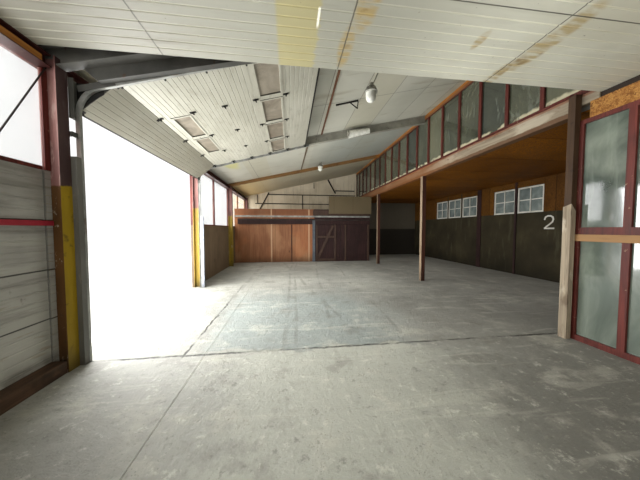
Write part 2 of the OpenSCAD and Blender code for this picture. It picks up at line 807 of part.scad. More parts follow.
// Boarded ceiling of the annex
module annex_ceiling() color([0.35, 0.2, 0.08]) in_place() {
    board_w = 1220;
    groove = 8;
    y0 = -wall_in;
    y1 = hall_l + wall_in;
    difference() {
        box([beam_out, y0, annex_ceiling_h], [annex_x, y1, annex_top]);
        for (y = [y0 + board_w:board_w:y1 - board_w / 2])
            box([beam_out - eps, y, annex_ceiling_h - eps],
                [annex_x + eps, y + groove, annex_ceiling_h + groove]);
    }
}

// Flat roof of the annex
module annex_roof() color([0.45, 0.45, 0.43]) in_place()
    box([beam_out, -wall_out - overhang, annex_top],
        [x_high, hall_l + wall_out + overhang, annex_top + annex_roof_t]);

// Low ends of the annex windows: pairs in the front and door bays, then the
// pair and the group of three
pair_w = annex_window_pitch + annex_window_w;
door_pair_past = 700;
rear_pair_before = 290;
rear_group_past = 2460;
annex_windows = concat(
    [for (i = [0:front_bays - 1], k = [0, 1]) frame_y(i) + (bay - pair_w) / 2 + k * annex_window_pitch],
    [for (k = [0, 1]) door_near + door_pair_past + k * annex_window_pitch],
    [for (k = [0, 1]) door_far - rear_pair_before + k * annex_window_pitch],
    [for (k = [0:2]) door_far + rear_group_past + k * annex_window_pitch]);

// Outer wall of the annex
module annex_wall() color([0.3, 0.28, 0.24]) in_place()
    difference() {
        box([annex_x, -wall_out, 0], [annex_x + annex_wall_t, hall_l + wall_out, annex_top]);
        for (y = annex_windows)
            box([annex_x - eps, y, annex_sill_h],
                [annex_x + annex_wall_t + eps, y + annex_window_w, annex_sill_h + annex_window_h]);
    }

annex_frame_in = annex_x + 10;
annex_frame_out = annex_frame_in + 60;
annex_rail = 50;
annex_bar = 30;
annex_pane_h = (annex_window_h - 2 * annex_rail - annex_bar) / 2;
function annex_openings(y) =
    [for (z = [annex_sill_h + annex_rail, annex_sill_h + annex_rail + annex_pane_h + annex_bar])
        each pane_row(y, y + annex_window_w, z, z + annex_pane_h, annex_rail, annex_bar, 2)];

// Frames of the annex windows
module annex_window_frames() color([0.75, 0.74, 0.7]) in_place()
    for (y = annex_windows)
        window_frame(annex_frame_in, annex_frame_out, y, y + annex_window_w,
                     annex_sill_h, annex_sill_h + annex_window_h, annex_openings(y));

// Glass of the annex windows
module annex_window_glass() color([0.6, 0.65, 0.66, 0.5]) in_place()
    for (y = annex_windows)
        window_glass(annex_frame_in, annex_frame_out, annex_openings(y));

// Outlines of an end wall's two halves, the hall's and the annex's
module end_wall_outline() {
    joint = 0.5;
    polygon([[0, 0], [beam_out, 0], [beam_out, beam_top], [glaze_out, beam_top],
             [glaze_out, roof_z(glaze_out)], [0, roof_z(0)]]);
    translate([beam_out + joint, 0]) square([annex_x - beam_out - joint, annex_top]);
}

// An end wall whose inner face is at y = 0 and which is panel_t thick
module end_wall() {
    groove = 8;
    difference() {
        side_plate(-panel_t, 0) end_wall_outline();
        for (z = [kerb_h + wall_row_h:wall_row_h:roof_z(glaze_out)], y = [-panel_t, -groove / 2])
            box([-eps, y - eps, z], [annex_x + eps, y + groove / 2 + eps, z + groove]);
    }
}

module front_end_wall() color([0.72, 0.7, 0.64]) in_place()
    translate([0, -wall_in, 0]) end_wall();

module rear_end_wall() color([0.72, 0.7, 0.64]) in_place()
    translate([0, hall_l + wall_in, 0]) mirror([0, 1, 0]) end_wall();

// Two dark rails on the inner face of the rear wall, and a stud between and under
// them
module end_wall_rails() color([0.16, 0.14, 0.12]) in_place() {
    rail_h = 50;
    rail_t = 40;
    low_rail_below_beam = 120;
    high_rail_over_eave = 215;
    low_rail_z = beam_low - low_rail_below_beam;
    high_rail_z = eave_h + high_rail_over_eave;
    seam = 0.3;
    y1 = hall_l + wall_in;
    y0 = y1 - rail_t;
    low_x0 = 600;
    x1 = slender_in;
    roof_room = 130;
    high_x0 = (high_rail_z + rail_h + roof_room - roof_low) / rise;
    stud_x = 3360;
    box([low_x0, y0, low_rail_z], [x1, y1, low_rail_z + rail_h]);
    box([high_x0, y0, high_rail_z], [x1, y1, high_rail_z + rail_h]);
    box([stud_x, y0, low_rail_z + rail_h + seam], [stud_x + rail_h, y1, high_rail_z - seam]);
    box([stud_x, y0, 0], [stud_x + rail_h, y1, low_rail_z - seam]);
}

// Plywood half of the rear partition with its battens, and the plywood panel
// that hangs under the glazing beam beside it
module plywood_partition() color([0.48, 0.29, 0.21]) in_place() {
    ply_t = 20;
    batten_w = 60;
    batten_t = 25;
    stud = 70;
    y = partition_y;
    batten_first = 1700;
    batten_pitch = 1830;
    box([0, y, 0], [plywood_w, y + ply_t, partition_h]);
    for (x = [batten_first:batten_pitch:plywood_w - batten_w])
        box([x, y - batten_t, 0], [x + batten_w, y + eps, rail_low]);
    for (x = [0:plywood_w / 4:plywood_w - stud])
        box([x, y + ply_t - eps, 0], [x + stud, y + ply_t + stud, partition_h]);
    hung_w = 2155;
    hung_t = 40;
    hung_gap = 150;
    hung_over_rail = 180;
    box([beam_in - hung_w, y - hung_gap - hung_t, rail_low + hung_over_rail],
        [beam_in, y - hung_gap, beam_low]);
}

// Dark half of the rear partition, two framed and braced leaves
module dark_partition() color([0.18, 0.11, 0.11]) in_place() {
    x_end = slender_in;
    leaf_t = 20;
    bar = 90;
    bar_t = 25;
    y = partition_y;
    leaves = 2;
    leaf_w = (x_end - plywood_w) / leaves;
    box([plywood_w, y, 0], [x_end, y + leaf_t, partition_h]);
    for (z = [0, rail_low / 2 - bar, rail_low - bar])
        box([plywood_w, y - bar_t, z], [x_end, y + eps, z + bar]);
    for (k = [0:leaves])
        box([max(plywood_w, plywood_w + k * leaf_w - bar), y - bar_t, 0],
            [min(x_end, plywood_w + k * leaf_w + bar), y + eps, rail_low]);
}

// Pale rail across the partition
module partition_rail() color([0.5, 0.48, 0.47]) in_place() {
    rail_h = 80;
    rail_t = 50;
    box([0, partition_y - rail_t, rail_low], [slender_in, partition_y, rail_low + rail_h]);
}

// Bell lamps: [x, y from the first door frame, the cap's distance below the roof]
bell_lamps = [[4105, 1310, 215], [3905, 7130, 30]];

// A bell lamp with a globe under its shade, on a stem that leans from its cap
// to the roof
module bell_lamp(x, y, below_roof) {
    cap_h = 160;
    globe_r = 90;
    globe_h = 180;
    stem_r = 10;
    stem_lean = 24;
    z = roof_z(x) - below_roof - cap_h;
    translate([x, y, z]) {
        rotate_extrude()
            polygon(concat([[0, cap_h], [45, cap_h], [50, 112], [88, 84], [120, 0], [globe_r, 0]],
                           [for (a = [0:15:90])
                               [globe_r * cos(a), globe_r - globe_h - globe_r * sin(a)]]));
        intersection() {
            translate([0, 0, cap_h - globe_r]) rotate([0, stem_lean, 0])
                cylinder(r = stem_r, h = 2 * (below_roof + globe_r));
            translate([-x, 0, 0])
                side_plate(-stem_r * 2, stem_r * 2)
                    polygon([[0, 0], [glaze_in, 0], [glaze_in, roof_z(glaze_in) - z],
                             [0, roof_z(0) - z]]);
        }
    }
}

// A long lamp on the near side of the rafter at the door's far frame, along
// the slope, with the bracket that holds it to the rafter's lower flange
module long_lamp() {
    lamp_x = 4290;
    lamp_l = 640;
    wide_r = 110;
    narrow_r = 75;
    below_roof = 190;
    bracket_x = 4560;
    bracket_l = 100;
    bracket_h = 40;
    rafter_side = door_far - rafter_w / 2;
    y = rafter_side - wide_r;
    function flange_low(x) = roof_z(x) - rafter_dz;
    translate([lamp_x, y, roof_z(lamp_x) - below_roof])
        rotate([0, 90 - roof_pitch, 0])
            cylinder(r1 = wide_r, r2 = narrow_r, h = lamp_l);
    bracket_end = bracket_x + bracket_l;
    side_plate(y, rafter_side)
        polygon([[bracket_x, flange_low(bracket_x)], [bracket_end, flange_low(bracket_end)],
                 [bracket_end, flange_low(bracket_end) + bracket_h],
                 [bracket_x, flange_low(bracket_x) + bracket_h]]);
}

// Lamps under the roof of the rear bays
module lamps() color([0.6, 0.58, 0.5]) in_place() {
    for (p = bell_lamps) bell_lamp(p[0], door_near + p[1], p[2]);
    long_lamp();
}

floor_slab();
wall_columns();
eave_beam();
front_wall_panels();
front_kerb();
rear_wall_panels();
low_wall_fascia();
low_window_frames();
low_window_glass();
brace_rods();
guide_guards();
door_tracks();
door_track_bends();
track_hangers();
door_panel_1();
door_panel_2();
door_panel_3();
door_panel_4();
door_panel_5();
door_panel_6();
door_panes();
door_hinges();
roof_panels();
steel_rafters();
timber_beams();
ceiling_panels();
ceiling_joists();
hall_posts();
glazing_beam();
high_window_frames();
high_window_glass();
screen_frames();
screen_glass();
annex_ceiling();
annex_roof();
annex_wall();
annex_window_frames();
annex_window_glass();
front_end_wall();
rear_end_wall();
end_wall_rails();
plywood_partition();
dark_partition();
partition_rail();
lamps();
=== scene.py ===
"""Looks of a factory workshop hall: finishes, small trim, light and camera.

All places are in metres. The hall's own plan runs x from the low wall to the annex,
y from the first frame to the last, and z up from the top of the floor.
"""

import json
import math

import bmesh
import bpy
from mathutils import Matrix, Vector


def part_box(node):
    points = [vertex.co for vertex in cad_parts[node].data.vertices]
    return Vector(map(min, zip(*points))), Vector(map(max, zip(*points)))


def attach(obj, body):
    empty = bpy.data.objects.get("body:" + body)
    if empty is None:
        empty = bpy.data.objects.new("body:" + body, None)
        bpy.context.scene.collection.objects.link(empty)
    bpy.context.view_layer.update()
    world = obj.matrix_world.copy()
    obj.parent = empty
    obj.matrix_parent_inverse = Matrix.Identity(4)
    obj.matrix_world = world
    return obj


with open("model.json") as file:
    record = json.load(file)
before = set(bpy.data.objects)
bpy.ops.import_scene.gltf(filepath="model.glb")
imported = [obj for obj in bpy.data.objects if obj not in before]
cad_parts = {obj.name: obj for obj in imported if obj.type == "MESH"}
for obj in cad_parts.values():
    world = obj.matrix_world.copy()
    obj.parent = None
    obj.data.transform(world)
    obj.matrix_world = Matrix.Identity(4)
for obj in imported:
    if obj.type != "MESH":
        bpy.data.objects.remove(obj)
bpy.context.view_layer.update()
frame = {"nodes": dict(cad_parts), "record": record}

# Where the hall's plan lies in the frame of the part
COLUMN_HALF = 0.07
ORIGIN = Vector((
    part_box("wall_columns")[0].x,
    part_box("wall_columns")[0].y + COLUMN_HALF,
    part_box("floor_slab")[1].z,
))


def plan_box(node):
    """Lowest and highest corner of a CAD node in the hall's plan."""
    low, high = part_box(node)
    return low - ORIGIN, high - ORIGIN


# Sizes of the hall
FRAMES = [0.0, 3.78, 7.56, 11.56, 15.34, 19.12]
DOOR_NEAR, DOOR_FAR, TIMBER = FRAMES[2:5]
COLUMN_WEB_HALF = 0.0045
COLUMN_FLANGE = 0.012
COLUMN_DEPTH = plan_box("wall_columns")[1].x
EAVE = plan_box("wall_columns")[1].z
EAVE_BEAM_LOW = plan_box("eave_beam")[0].z
ROOF_LOW, ROOF_RISE = 3.54, math.tan(math.radians(12.7))
ROOF_UP = 0.0923
ROOF_JOINT_START, ROOF_JOINT_PITCH = 0.315, 0.775
REAR_ROOF_JOINTS = (1.3, 3.16, 5.05)
CEILING_JOINTS = (1.31, 3.18, 5.05)
BEAM_IN, BEAM_LOW = plan_box("glazing_beam")[0].x, plan_box("glazing_beam")[0].z
BEAM_TOP = plan_box("glazing_beam")[1].z
GLAZE_IN = plan_box("high_window_frames")[0].x
HIGH_HEAD = plan_box("high_window_frames")[1].z
HIGH_FIRST_BAR, HIGH_PITCH = 0.22, 0.655
KERB = 0.08
WALL_ROW, WALL_RIBS = 0.54, 6
FRONT_WALL_TOP = 2.24
REAR_IN = plan_box("rear_end_wall")[0].y
ANNEX_IN = plan_box("annex_wall")[0].x
ANNEX_CEILING = plan_box("annex_ceiling")[0].z
ANNEX_SILL, ANNEX_HEAD = (corner.z for corner in plan_box("annex_window_frames"))
ANNEX_WINDOWS = [0.955, 1.935, 4.735, 5.715, 8.26, 9.24, 11.27, 12.25, 14.02, 15.0, 15.98]
ANNEX_WINDOW = 0.89
ANNEX_SHEET = 1.22
RAIL_TOP = plan_box("partition_rail")[1].z
PLYWOOD_END, PARTITION_FACE = plan_box("dark_partition")[0].x, plan_box("dark_partition")[0].y
END_POST_IN = 6.64
END_POST_Y0, END_POST_Y1 = 7.535, 7.625
YELLOW_TOP = 2.08

# Sizes of the trim
SHEET = 0.007
RIB_GAP = 0.003
WALL_RAIL_LOW, WALL_RAIL_TOP = 1.640, 1.695
NEAR_TRACK, FAR_TRACK = DOOR_NEAR + 0.185, DOOR_FAR - 0.135
CORNER_PLATE_LOW = 2.86
SHADE_PLATE_IN, SHADE_PLATE_TOP = 0.168, 3.30
BATTEN_WIDE, BATTEN_THICK = 0.04, 0.022
SCREWS, SCREW_START, SCREW_PITCH = 18, 0.1, 0.3875
LINING = 0.012
NUMBER_START, NUMBER_FOOT, NUMBER_WIDE, NUMBER_TALL = 11.24, 1.615, 0.31, 0.415
NUMBER_PATH = ((0.06, 0.72), (0.14, 0.9), (0.35, 0.985), (0.62, 0.98), (0.83, 0.88), (0.88, 0.7),
               (0.8, 0.53), (0.55, 0.36), (0.28, 0.2), (0.08, 0.05), (0.96, 0.05))
BAND_IN, BAND_END = 0.15, 6.66
LEAF_TOP = 1.84

# Camera and world
EYE = (2.63, 4.54, 1.60)
YAW, PITCH = 7.1, 2.505
LENS, SENSOR = 13.5, 36.0
WORLD_STRENGTH = 1.15
STAGE_SIZE, STAGE_DROP = 70, 0.002


def at(x, y, z):
    """A point of the hall's plan in the frame of the part."""
    return ORIGIN + Vector((x, y, z))


def roof(x):
    """Height of the roof's underside over the plan's x."""
    return ROOF_LOW + x * ROOF_RISE


def srgb(code):
    """The linear colour of a hexadecimal screen colour."""
    parts = [int(code[i:i + 2], 16) / 255 for i in (1, 3, 5)]
    return (*(c / 12.92 if c <= 0.04045 else ((c + 0.055) / 1.055) ** 2.4 for c in parts), 1.0)


def make_camera():
    """The photo's camera: its eye, its way of looking and its lens."""
    data = bpy.data.cameras.new("camera")
    data.sensor_fit = "HORIZONTAL"
    data.sensor_width = SENSOR
    data.lens = LENS
    data.clip_start, data.clip_end = 0.05, 300
    camera = bpy.data.objects.new("camera", data)
    camera.location = at(*EYE)
    camera.rotation_euler = (math.radians(90 - PITCH), 0, math.radians(-YAW))
    bpy.context.scene.collection.objects.link(camera)
    bpy.context.scene.camera = camera


def area_light(name, place, aim, size, power, glossy=False):
    """A soft light of size (across, up) metres at place, pointing at aim."""
    data = bpy.data.lights.new(name, "AREA")
    data.shape = "RECTANGLE"
    data.size, data.size_y = size
    data.energy = power
    light = bpy.data.objects.new(name, data)
    light.location = at(*place)
    light.rotation_euler = (at(*aim) - at(*place)).to_track_quat("-Z", "Y").to_euler()
    light.visible_camera = False
    light.visible_glossy = glossy
    bpy.context.scene.collection.objects.link(light)


def make_light():
    """Daylight from the world, the door and the low windows, with soft fills inside."""
    world = bpy.data.worlds.new("studio")
    world.use_nodes = True
    back = world.node_tree.nodes["Background"]
    back.inputs["Color"].default_value = (1, 1, 1, 1)
    back.inputs["Strength"].default_value = WORLD_STRENGTH
    bpy.context.scene.world = world
    bpy.context.scene.view_settings.view_transform = "Standard"

    door_mid = (DOOR_NEAR + DOOR_FAR) / 2
    area_light("door_light", (-0.4, door_mid, 1.7), (3, door_mid, 1.0), (3.6, 2.9), 420, True)
    for bay, z, height, power in ((0, 2.9, 1.0, 75), (1, 2.9, 1.0, 75), (3, 2.6, 1.4, 90), (4, 2.6, 1.4, 90)):
        y = (FRAMES[bay] + FRAMES[bay + 1]) / 2
        area_light(f"window_light_{bay}", (-0.3, y, z), (3.0, y, 1.2), (3.4, height), power, True)
    area_light("front_fill", (3.2, 0.3, 1.9), (3.2, 9, 1.6), (5.8, 2.8), 170)
    area_light("up_fill_front", (3.6, 3.6, 0.25), (3.6, 3.6, 3), (4.6, 6.2), 48)
    area_light("up_fill_rear", (3.6, 12.6, 0.25), (3.6, 12.6, 3), (4.8, 6.8), 66)
    area_light("down_fill", (3.6, 12.0, 3.0), (3.6, 12.0, 0), (2.6, 7.0), 60)
    area_light("rear_fill", (4.2, 11.0, 1.6), (4.2, 19, 3.2), (3.6, 1.6), 34)
    area_light("annex_fill", (8.7, 9.5, 3.1), (8.7, 9.5, 0), (3.2, 17.0), 50)
    area_light("yard_light", (-6.5, 10.5, 6.5), (-6.5, 10.5, 0), (9.0, 16.0), 1500)


def make_stage():
    """The plain pale floor under the building."""
    bpy.ops.mesh.primitive_plane_add(size=STAGE_SIZE, location=(0, 0, -STAGE_DROP))
    ground = bpy.context.object
    ground.name = "studio_floor"
    paint = Paint("studio_floor", {"Roughness": 0.9})
    paint.tones(paint.noise(0.8), "#efeeea", "#f6f5f2")
    ground.data.materials.append(paint.done())


class Paint:
    """The node tree of one procedural material, whose patterns are laid out in metres."""

    def __init__(self, name, values=None):
        self.made = bpy.data.materials.new(name)
        self.made.use_nodes = True
        self.tree = self.made.node_tree
        self.shader = next(n for n in self.tree.nodes if n.type == "BSDF_PRINCIPLED")
        for socket, value in (values or {}).items():
            self.shader.inputs[socket].default_value = value
        self.place = self.add("ShaderNodeTexCoord", {})["Object"]
        self.plan = [self.maths("SUBTRACT", *pair) for pair in zip(self.split(self.place), ORIGIN)]
        self.base = None

    def add(self, kind, inputs, **settings):
        """A new node with its settings, and its inputs joined to sources or plain values."""
        node = self.tree.nodes.new(kind)
        for key, value in settings.items():
            setattr(node, key, value)
        for key, source in inputs.items():
            self.join(source, node.inputs[key])
        return node.outputs

    def join(self, source, target):
        """Links a socket, or sets a plain value, to the target socket."""
        if isinstance(source, bpy.types.NodeSocket):
            self.tree.links.new(source, target)
        elif isinstance(source, str):
            target.default_value = srgb(source)
        else:
            target.default_value = source

    def split(self, source):
        """The x, y and z of a vector."""
        return self.add("ShaderNodeSeparateXYZ", {0: source})

    def laid(self, stretch, shift=0.0):
        """The place scaled by stretch and moved by shift, in metres."""
        moved = (shift, shift * 0.7, shift * 1.3)
        return self.add("ShaderNodeMapping", {"Vector": self.place, "Scale": stretch, "Location": moved})[0]

    def noise(self, scale, detail=4.0, stretch=(1, 1, 1), shift=0.0, rough=0.55, bend=0.0, output="Fac"):
        return self.add("ShaderNodeTexNoise", {
            "Vector": self.laid(stretch, shift), "Scale": scale, "Detail": detail, "Roughness": rough,
            "Distortion": bend})[output]

    def cells(self, scale, stretch=(1, 1, 1), feature="F1", shift=0.0, warp=None, output="Distance"):
        place = self.laid(stretch, shift)
        if warp is not None:
            place = self.vector("ADD", place, warp)
        return self.add("ShaderNodeTexVoronoi", {"Vector": place, "Scale": scale}, feature=feature)[output]

    def flakes(self, scale, stretch):
        """One grey for each flake of a pressed board."""
        cells = self.cells(scale, stretch, warp=self.noise(9, 3), output="Color")
        return self.add("ShaderNodeRGBToBW", {0: cells})[0]

    def vector(self, operation, a, b):
        return self.add("ShaderNodeVectorMath", {0: a, 1: b}, operation=operation)["Vector"]

    def maths(self, operation, a, b=0.0):
        return self.add("ShaderNodeMath", {0: a, 1: b}, operation=operation)[0]

    def sway(self, place, noise, reach):
        """A place moved to and fro by a noise, reach metres from end to end."""
        return self.maths("ADD", place, self.maths("MULTIPLY", self.maths("SUBTRACT", noise, 0.5), reach))

    def count(self, source, start, pitch):
        """The number of a board or pane, counted every pitch metres from start."""
        return self.maths("FLOOR", self.maths("DIVIDE", self.maths("SUBTRACT", source, start), pitch))

    def pick(self, source, start, pitch):
        """A share from 0 to 1 that jumps from one board or pane to the next."""
        return self.maths("FRACT", self.maths("MULTIPLY", self.count(source, start, pitch), 0.618))

    def mask(self, source, low, high):
        """0 below low and 1 over high, or the other way round if low is the larger."""
        return self.add("ShaderNodeMapRange", {
            "Value": source, "From Min": min(low, high), "From Max": max(low, high),
            "To Min": float(low > high), "To Max": float(low <= high)}, interpolation_type="SMOOTHSTEP")[0]

    def cloud(self, low, high, *noise, **more):
        """Ragged patches, where a noise goes from low to high."""
        return self.mask(self.noise(*noise, **more), low, high)

    def facing(self, axis, low, high):
        """The faces whose outward direction along an axis goes from low to high."""
        return self.mask(self.split(self.add("ShaderNodeNewGeometry", {})["True Normal"])[axis], low, high)

    def line(self, source, place, wide, full):
        """A line where source is at place, full up to the half-width full and gone at wide."""
        return self.mask(self.maths("ABSOLUTE", self.maths("SUBTRACT", source, place)), wide, full)

    def stripes(self, axis, pitch, width, start=0.0):
        """Thin lines across an axis of the plan, width metres wide every pitch metres."""
        turn = self.maths("DIVIDE", self.maths("SUBTRACT", self.plan[axis], start - width / 2), pitch)
        return self.mask(self.maths("FRACT", turn), width / pitch * 1.2, width / pitch * 0.8)

    def near(self, point, radius, ragged, scale):
        """A blot round a point of the hall's plan, with a ragged edge."""
        shift = self.vector("DIVIDE", self.vector("SUBTRACT", self.place, tuple(at(*point))), radius)
        length = self.add("ShaderNodeVectorMath", {0: shift}, operation="LENGTH")["Value"]
        return self.mask(self.sway(length, self.noise(scale, 5), ragged * 2), 1.0, 0.55)

    def fold(self, operation, masks):
        """Joins masks by an operation; (source, low, high) stands for the mask of these."""
        first, *others = (self.mask(*mask) if isinstance(mask, tuple) else mask for mask in masks)
        for other in others:
            first = self.maths(operation, first, other)
        return first

    def both(self, *masks):
        return self.fold("MULTIPLY", masks)

    def most(self, *masks):
        return self.fold("MAXIMUM", masks)

    def ramp(self, source, *colours, stops=None):
        """A run of two or three colours as source goes from 0 to 1."""
        node = self.tree.nodes.new("ShaderNodeValToRGB")
        self.join(source, node.inputs["Fac"])
        elements = node.color_ramp.elements
        while len(elements) < len(colours):
            elements.new(0.5)
        stops = stops or ((0.3, 0.7) if len(colours) == 2 else (0.3, 0.5, 0.7))
        for element, place, colour in zip(elements, stops, colours):
            element.position = place
            element.color = srgb(colour)
        return node.outputs["Color"]

    def tones(self, source, *colours, stops=None):
        """Makes a run of colours the base."""
        self.base = self.ramp(source, *colours, stops=stops)

    def mix(self, a, b, share, blend="MIX"):
        return self.add("ShaderNodeMix", {0: share, 6: a, 7: b}, data_type="RGBA", blend_type=blend)[2]

    def over(self, colour, *masks):
        """Lays a colour over the base, as far as the product of the masks and shares."""
        self.base = self.mix(self.base, colour, self.both(*masks))

    def stain(self, colour, share, *cloud, **more):
        """Lays a share of a colour over the base in ragged patches."""
        self.over(colour, self.cloud(*cloud, **more), share)

    def lift(self, factor, *masks):
        """Makes the base lighter by a factor, as far as the product of the masks."""
        self.base = self.mix(self.base, (factor, factor, factor, 1.0), self.both(*masks), "MULTIPLY")

    def chip(self, under, share, scale, low, high):
        """Wears the paint off in flakes, down to another colour."""
        flake = self.cloud(low, high, scale, 7, shift=8.0, rough=0.65)
        self.bump(flake, -0.0008)
        self.over(under, flake, share)

    def gloss(self, source, low, high):
        """Roughness from low to high as source goes from 0 to 1."""
        rough = self.add("ShaderNodeMapRange", {"Value": source, "To Min": low, "To Max": high})[0]
        self.join(rough, self.shader.inputs["Roughness"])

    def bump(self, source, depth):
        """Relief of depth metres; later calls lie on the earlier ones."""
        old = self.shader.inputs["Normal"]
        inputs = {"Height": source, "Distance": depth, "Strength": 1.0}
        inputs.update({"Normal": link.from_socket for link in old.links})
        self.join(self.add("ShaderNodeBump", inputs)[0], old)

    def relief(self, depth, *noise, **more):
        """Relief of depth metres after a noise."""
        self.bump(self.noise(*noise, **more), depth)

    def done(self, *gloss):
        """The material with its base colour, and its roughness where gloss says one."""
        self.join(self.base, self.shader.inputs["Base Color"])
        if gloss:
            self.gloss(*gloss)
        return self.made


def sheet_metal(name, tones, dirt, share, streak=(0.35, 0.35, 3.0)):
    """Painted sheet: slow changes of tone, streaks that run down, and specks of dirt."""
    paint = Paint(name)
    tone = paint.noise(0.9, 5)
    paint.tones(tone, *tones)
    paint.stain(dirt, share, 0.52, 0.74, 2.2, 6, [1 / length for length in streak], 3.1)
    paint.stain(dirt, 0.4, 0.66, 0.74, 38, 3, shift=5.0)
    paint.gloss(tone, 0.4, 0.7)
    paint.relief(0.004, 1.7, 3, shift=9.0)
    paint.relief(0.0004, 55, 2, shift=2.0)
    return paint


def timber(name, dark, light, along=1, ring=9.0, rough=(0.55, 0.85), knots="#2c1c12"):
    """Sawn wood with its grain along one axis of the plan."""
    paint = Paint(name, {"Specular IOR Level": 0.25})
    stretch, short = [1.0] * 3, [3.0] * 3
    stretch[along], short[along] = 0.06, 1.1
    grain = paint.noise(ring * 2.6, 6, stretch, bend=1.2)
    paint.tones(grain, dark, light, stops=(0.28, 0.72))
    paint.stain(dark, 0.45, 0.45, 0.7, 1.1, 4, shift=6.0)
    paint.over(knots, paint.mask(paint.cells(1.0, short, shift=1.7), 0.11, 0.05), 0.7)
    paint.gloss(grain, *rough)
    paint.bump(grain, 0.0016)
    paint.relief(0.0006, ring * 14, 3, stretch, 4.0)
    return paint


def glass(name, tones, values, scale=2.6):
    """Smeared glass, and the noise of its smears."""
    paint = Paint(name, values)
    smear = paint.noise(scale, 6, (1, 1, 0.5), 3.0, bend=1.5)
    paint.tones(smear, *tones)
    return paint, smear


def concrete():
    """The floor: dusty beige near the front, blue-grey over the middle, with pits and fine cracks."""
    paint = Paint("concrete")
    x, y, z = paint.plan
    broad = paint.noise(0.42, 6, shift=2.0, rough=0.6)
    middle = paint.noise(2.3, 7, shift=5.0, rough=0.65)
    fine = paint.noise(24, 6, shift=1.0, rough=0.7)
    paint.tones(broad, "#7a7a73", "#8c8c84", "#9c9c93", stops=(0.32, 0.5, 0.68))
    wave = paint.noise(0.9, 5, shift=6.0)
    wavy_x, wavy_y = (paint.sway(place, wave, 1.6) for place in (x, y))
    paint.over("#adaea2", (wavy_y, 7.74, 7.66), (wavy_x, 1.3, 2.3), (wavy_x, 5.2, 3.9), 0.75)
    paint.over("#848c88", (wavy_y, 7.66, 7.76), (wavy_y, 11.4, 9.6),
               (wavy_x, 1.2, 1.7), (wavy_x, 5.0, 3.6), 0.8)
    paint.over("#6d6b64", (wavy_x, 4.0, 5.6), (y, 11.0, 8.0), 0.5)
    paint.over("#5d5b54", (wavy_x, 3.3, 4.8), (y, 7.5, 6.0), 0.72)
    paint.over("#b9b6a8", (middle, 0.52, 0.7), 0.4)
    paint.over("#67645b", (middle, 0.47, 0.33), 0.42)
    paint.over("#c4c1b3", (fine, 0.58, 0.72), 0.32)
    paint.over("#54524a", (fine, 0.4, 0.3), 0.36)
    paint.stain("#c6c4b6", 0.22, 0.55, 0.68, 3.2, 5, (0.35, 2.4, 1), 7.0, bend=0.8)
    warp = paint.noise(2.6, 7, (0.9, 0.9, 0.9), rough=0.5, output="Color")
    crack = paint.mask(paint.cells(0.8, feature="DISTANCE_TO_EDGE", warp=warp), 0.0035, 0.0008)
    paint.over("#4a4842", crack, paint.cloud(0.53, 0.6, 0.7, 3, shift=4.0), 0.5)
    tracks = []
    for centre, lean, width in ((2.30, 0.03, 0.05), (2.46, 0.03, 0.04), (2.66, 0.075, 0.05),
                                (4.95, -0.16, 0.07), (3.9, 0.05, 0.04), (1.1, 0.02, 0.1)):
        run = paint.maths("ADD", paint.maths("MULTIPLY", y, lean), centre)
        bent = paint.sway(x, paint.noise(0.25, 1, shift=centre), 0.35)
        tracks.append(paint.line(bent, run, width, width * 0.3))
    paint.over("#5a5851", paint.most(*tracks), paint.cloud(0.42, 0.6, 1.9, 6, shift=3.0), (y, 7.2, 8.0), 0.36)
    crumble = paint.noise(7, 6, shift=2.5)
    along = paint.both(paint.line(paint.sway(x, crumble, 0.12), 1.29, 0.024, 0.006),
                       (y, 7.6, 7.7), (y, 12.0, 10.6))
    across = paint.line(paint.sway(y, crumble, 0.06), 7.703, 0.034, 0.008)
    joint = paint.both(paint.most(along, across), (middle, 0.36, 0.56))
    paint.over("#302e2a", joint, 0.92)
    # Painted light: the base is lightened inside the floor's groove to take away its shade.
    paint.lift(1.9, (z, -0.0005, -0.0015), paint.line(x, 1.543, 0.05, 0.04))
    grit = paint.noise(9, 8, shift=12.0, rough=0.75)
    near = paint.mask(y, 8.6, 7.2)
    paint.over("#d2d0c2", (grit, 0.56, 0.66), near, 0.42)
    paint.over("#5b5a52", (grit, 0.43, 0.34), near, 0.5)
    paint.over("#5d584d", (y, 7.4, 5.6), (x, 2.3, 0.9), 0.5)
    pits = paint.both((paint.cells(30, shift=2.0), 0.16, 0.08), (middle, 0.5, 0.6), (y, 7.8, 7.2))
    paint.over("#4b4840", pits, 0.6)
    for source, depth in ((middle, 0.01), (grit, 0.02), (fine, 0.008), (joint, -0.006), (pits, -0.003)):
        paint.bump(source, depth)
    return paint.done(middle, 0.55, 0.8)


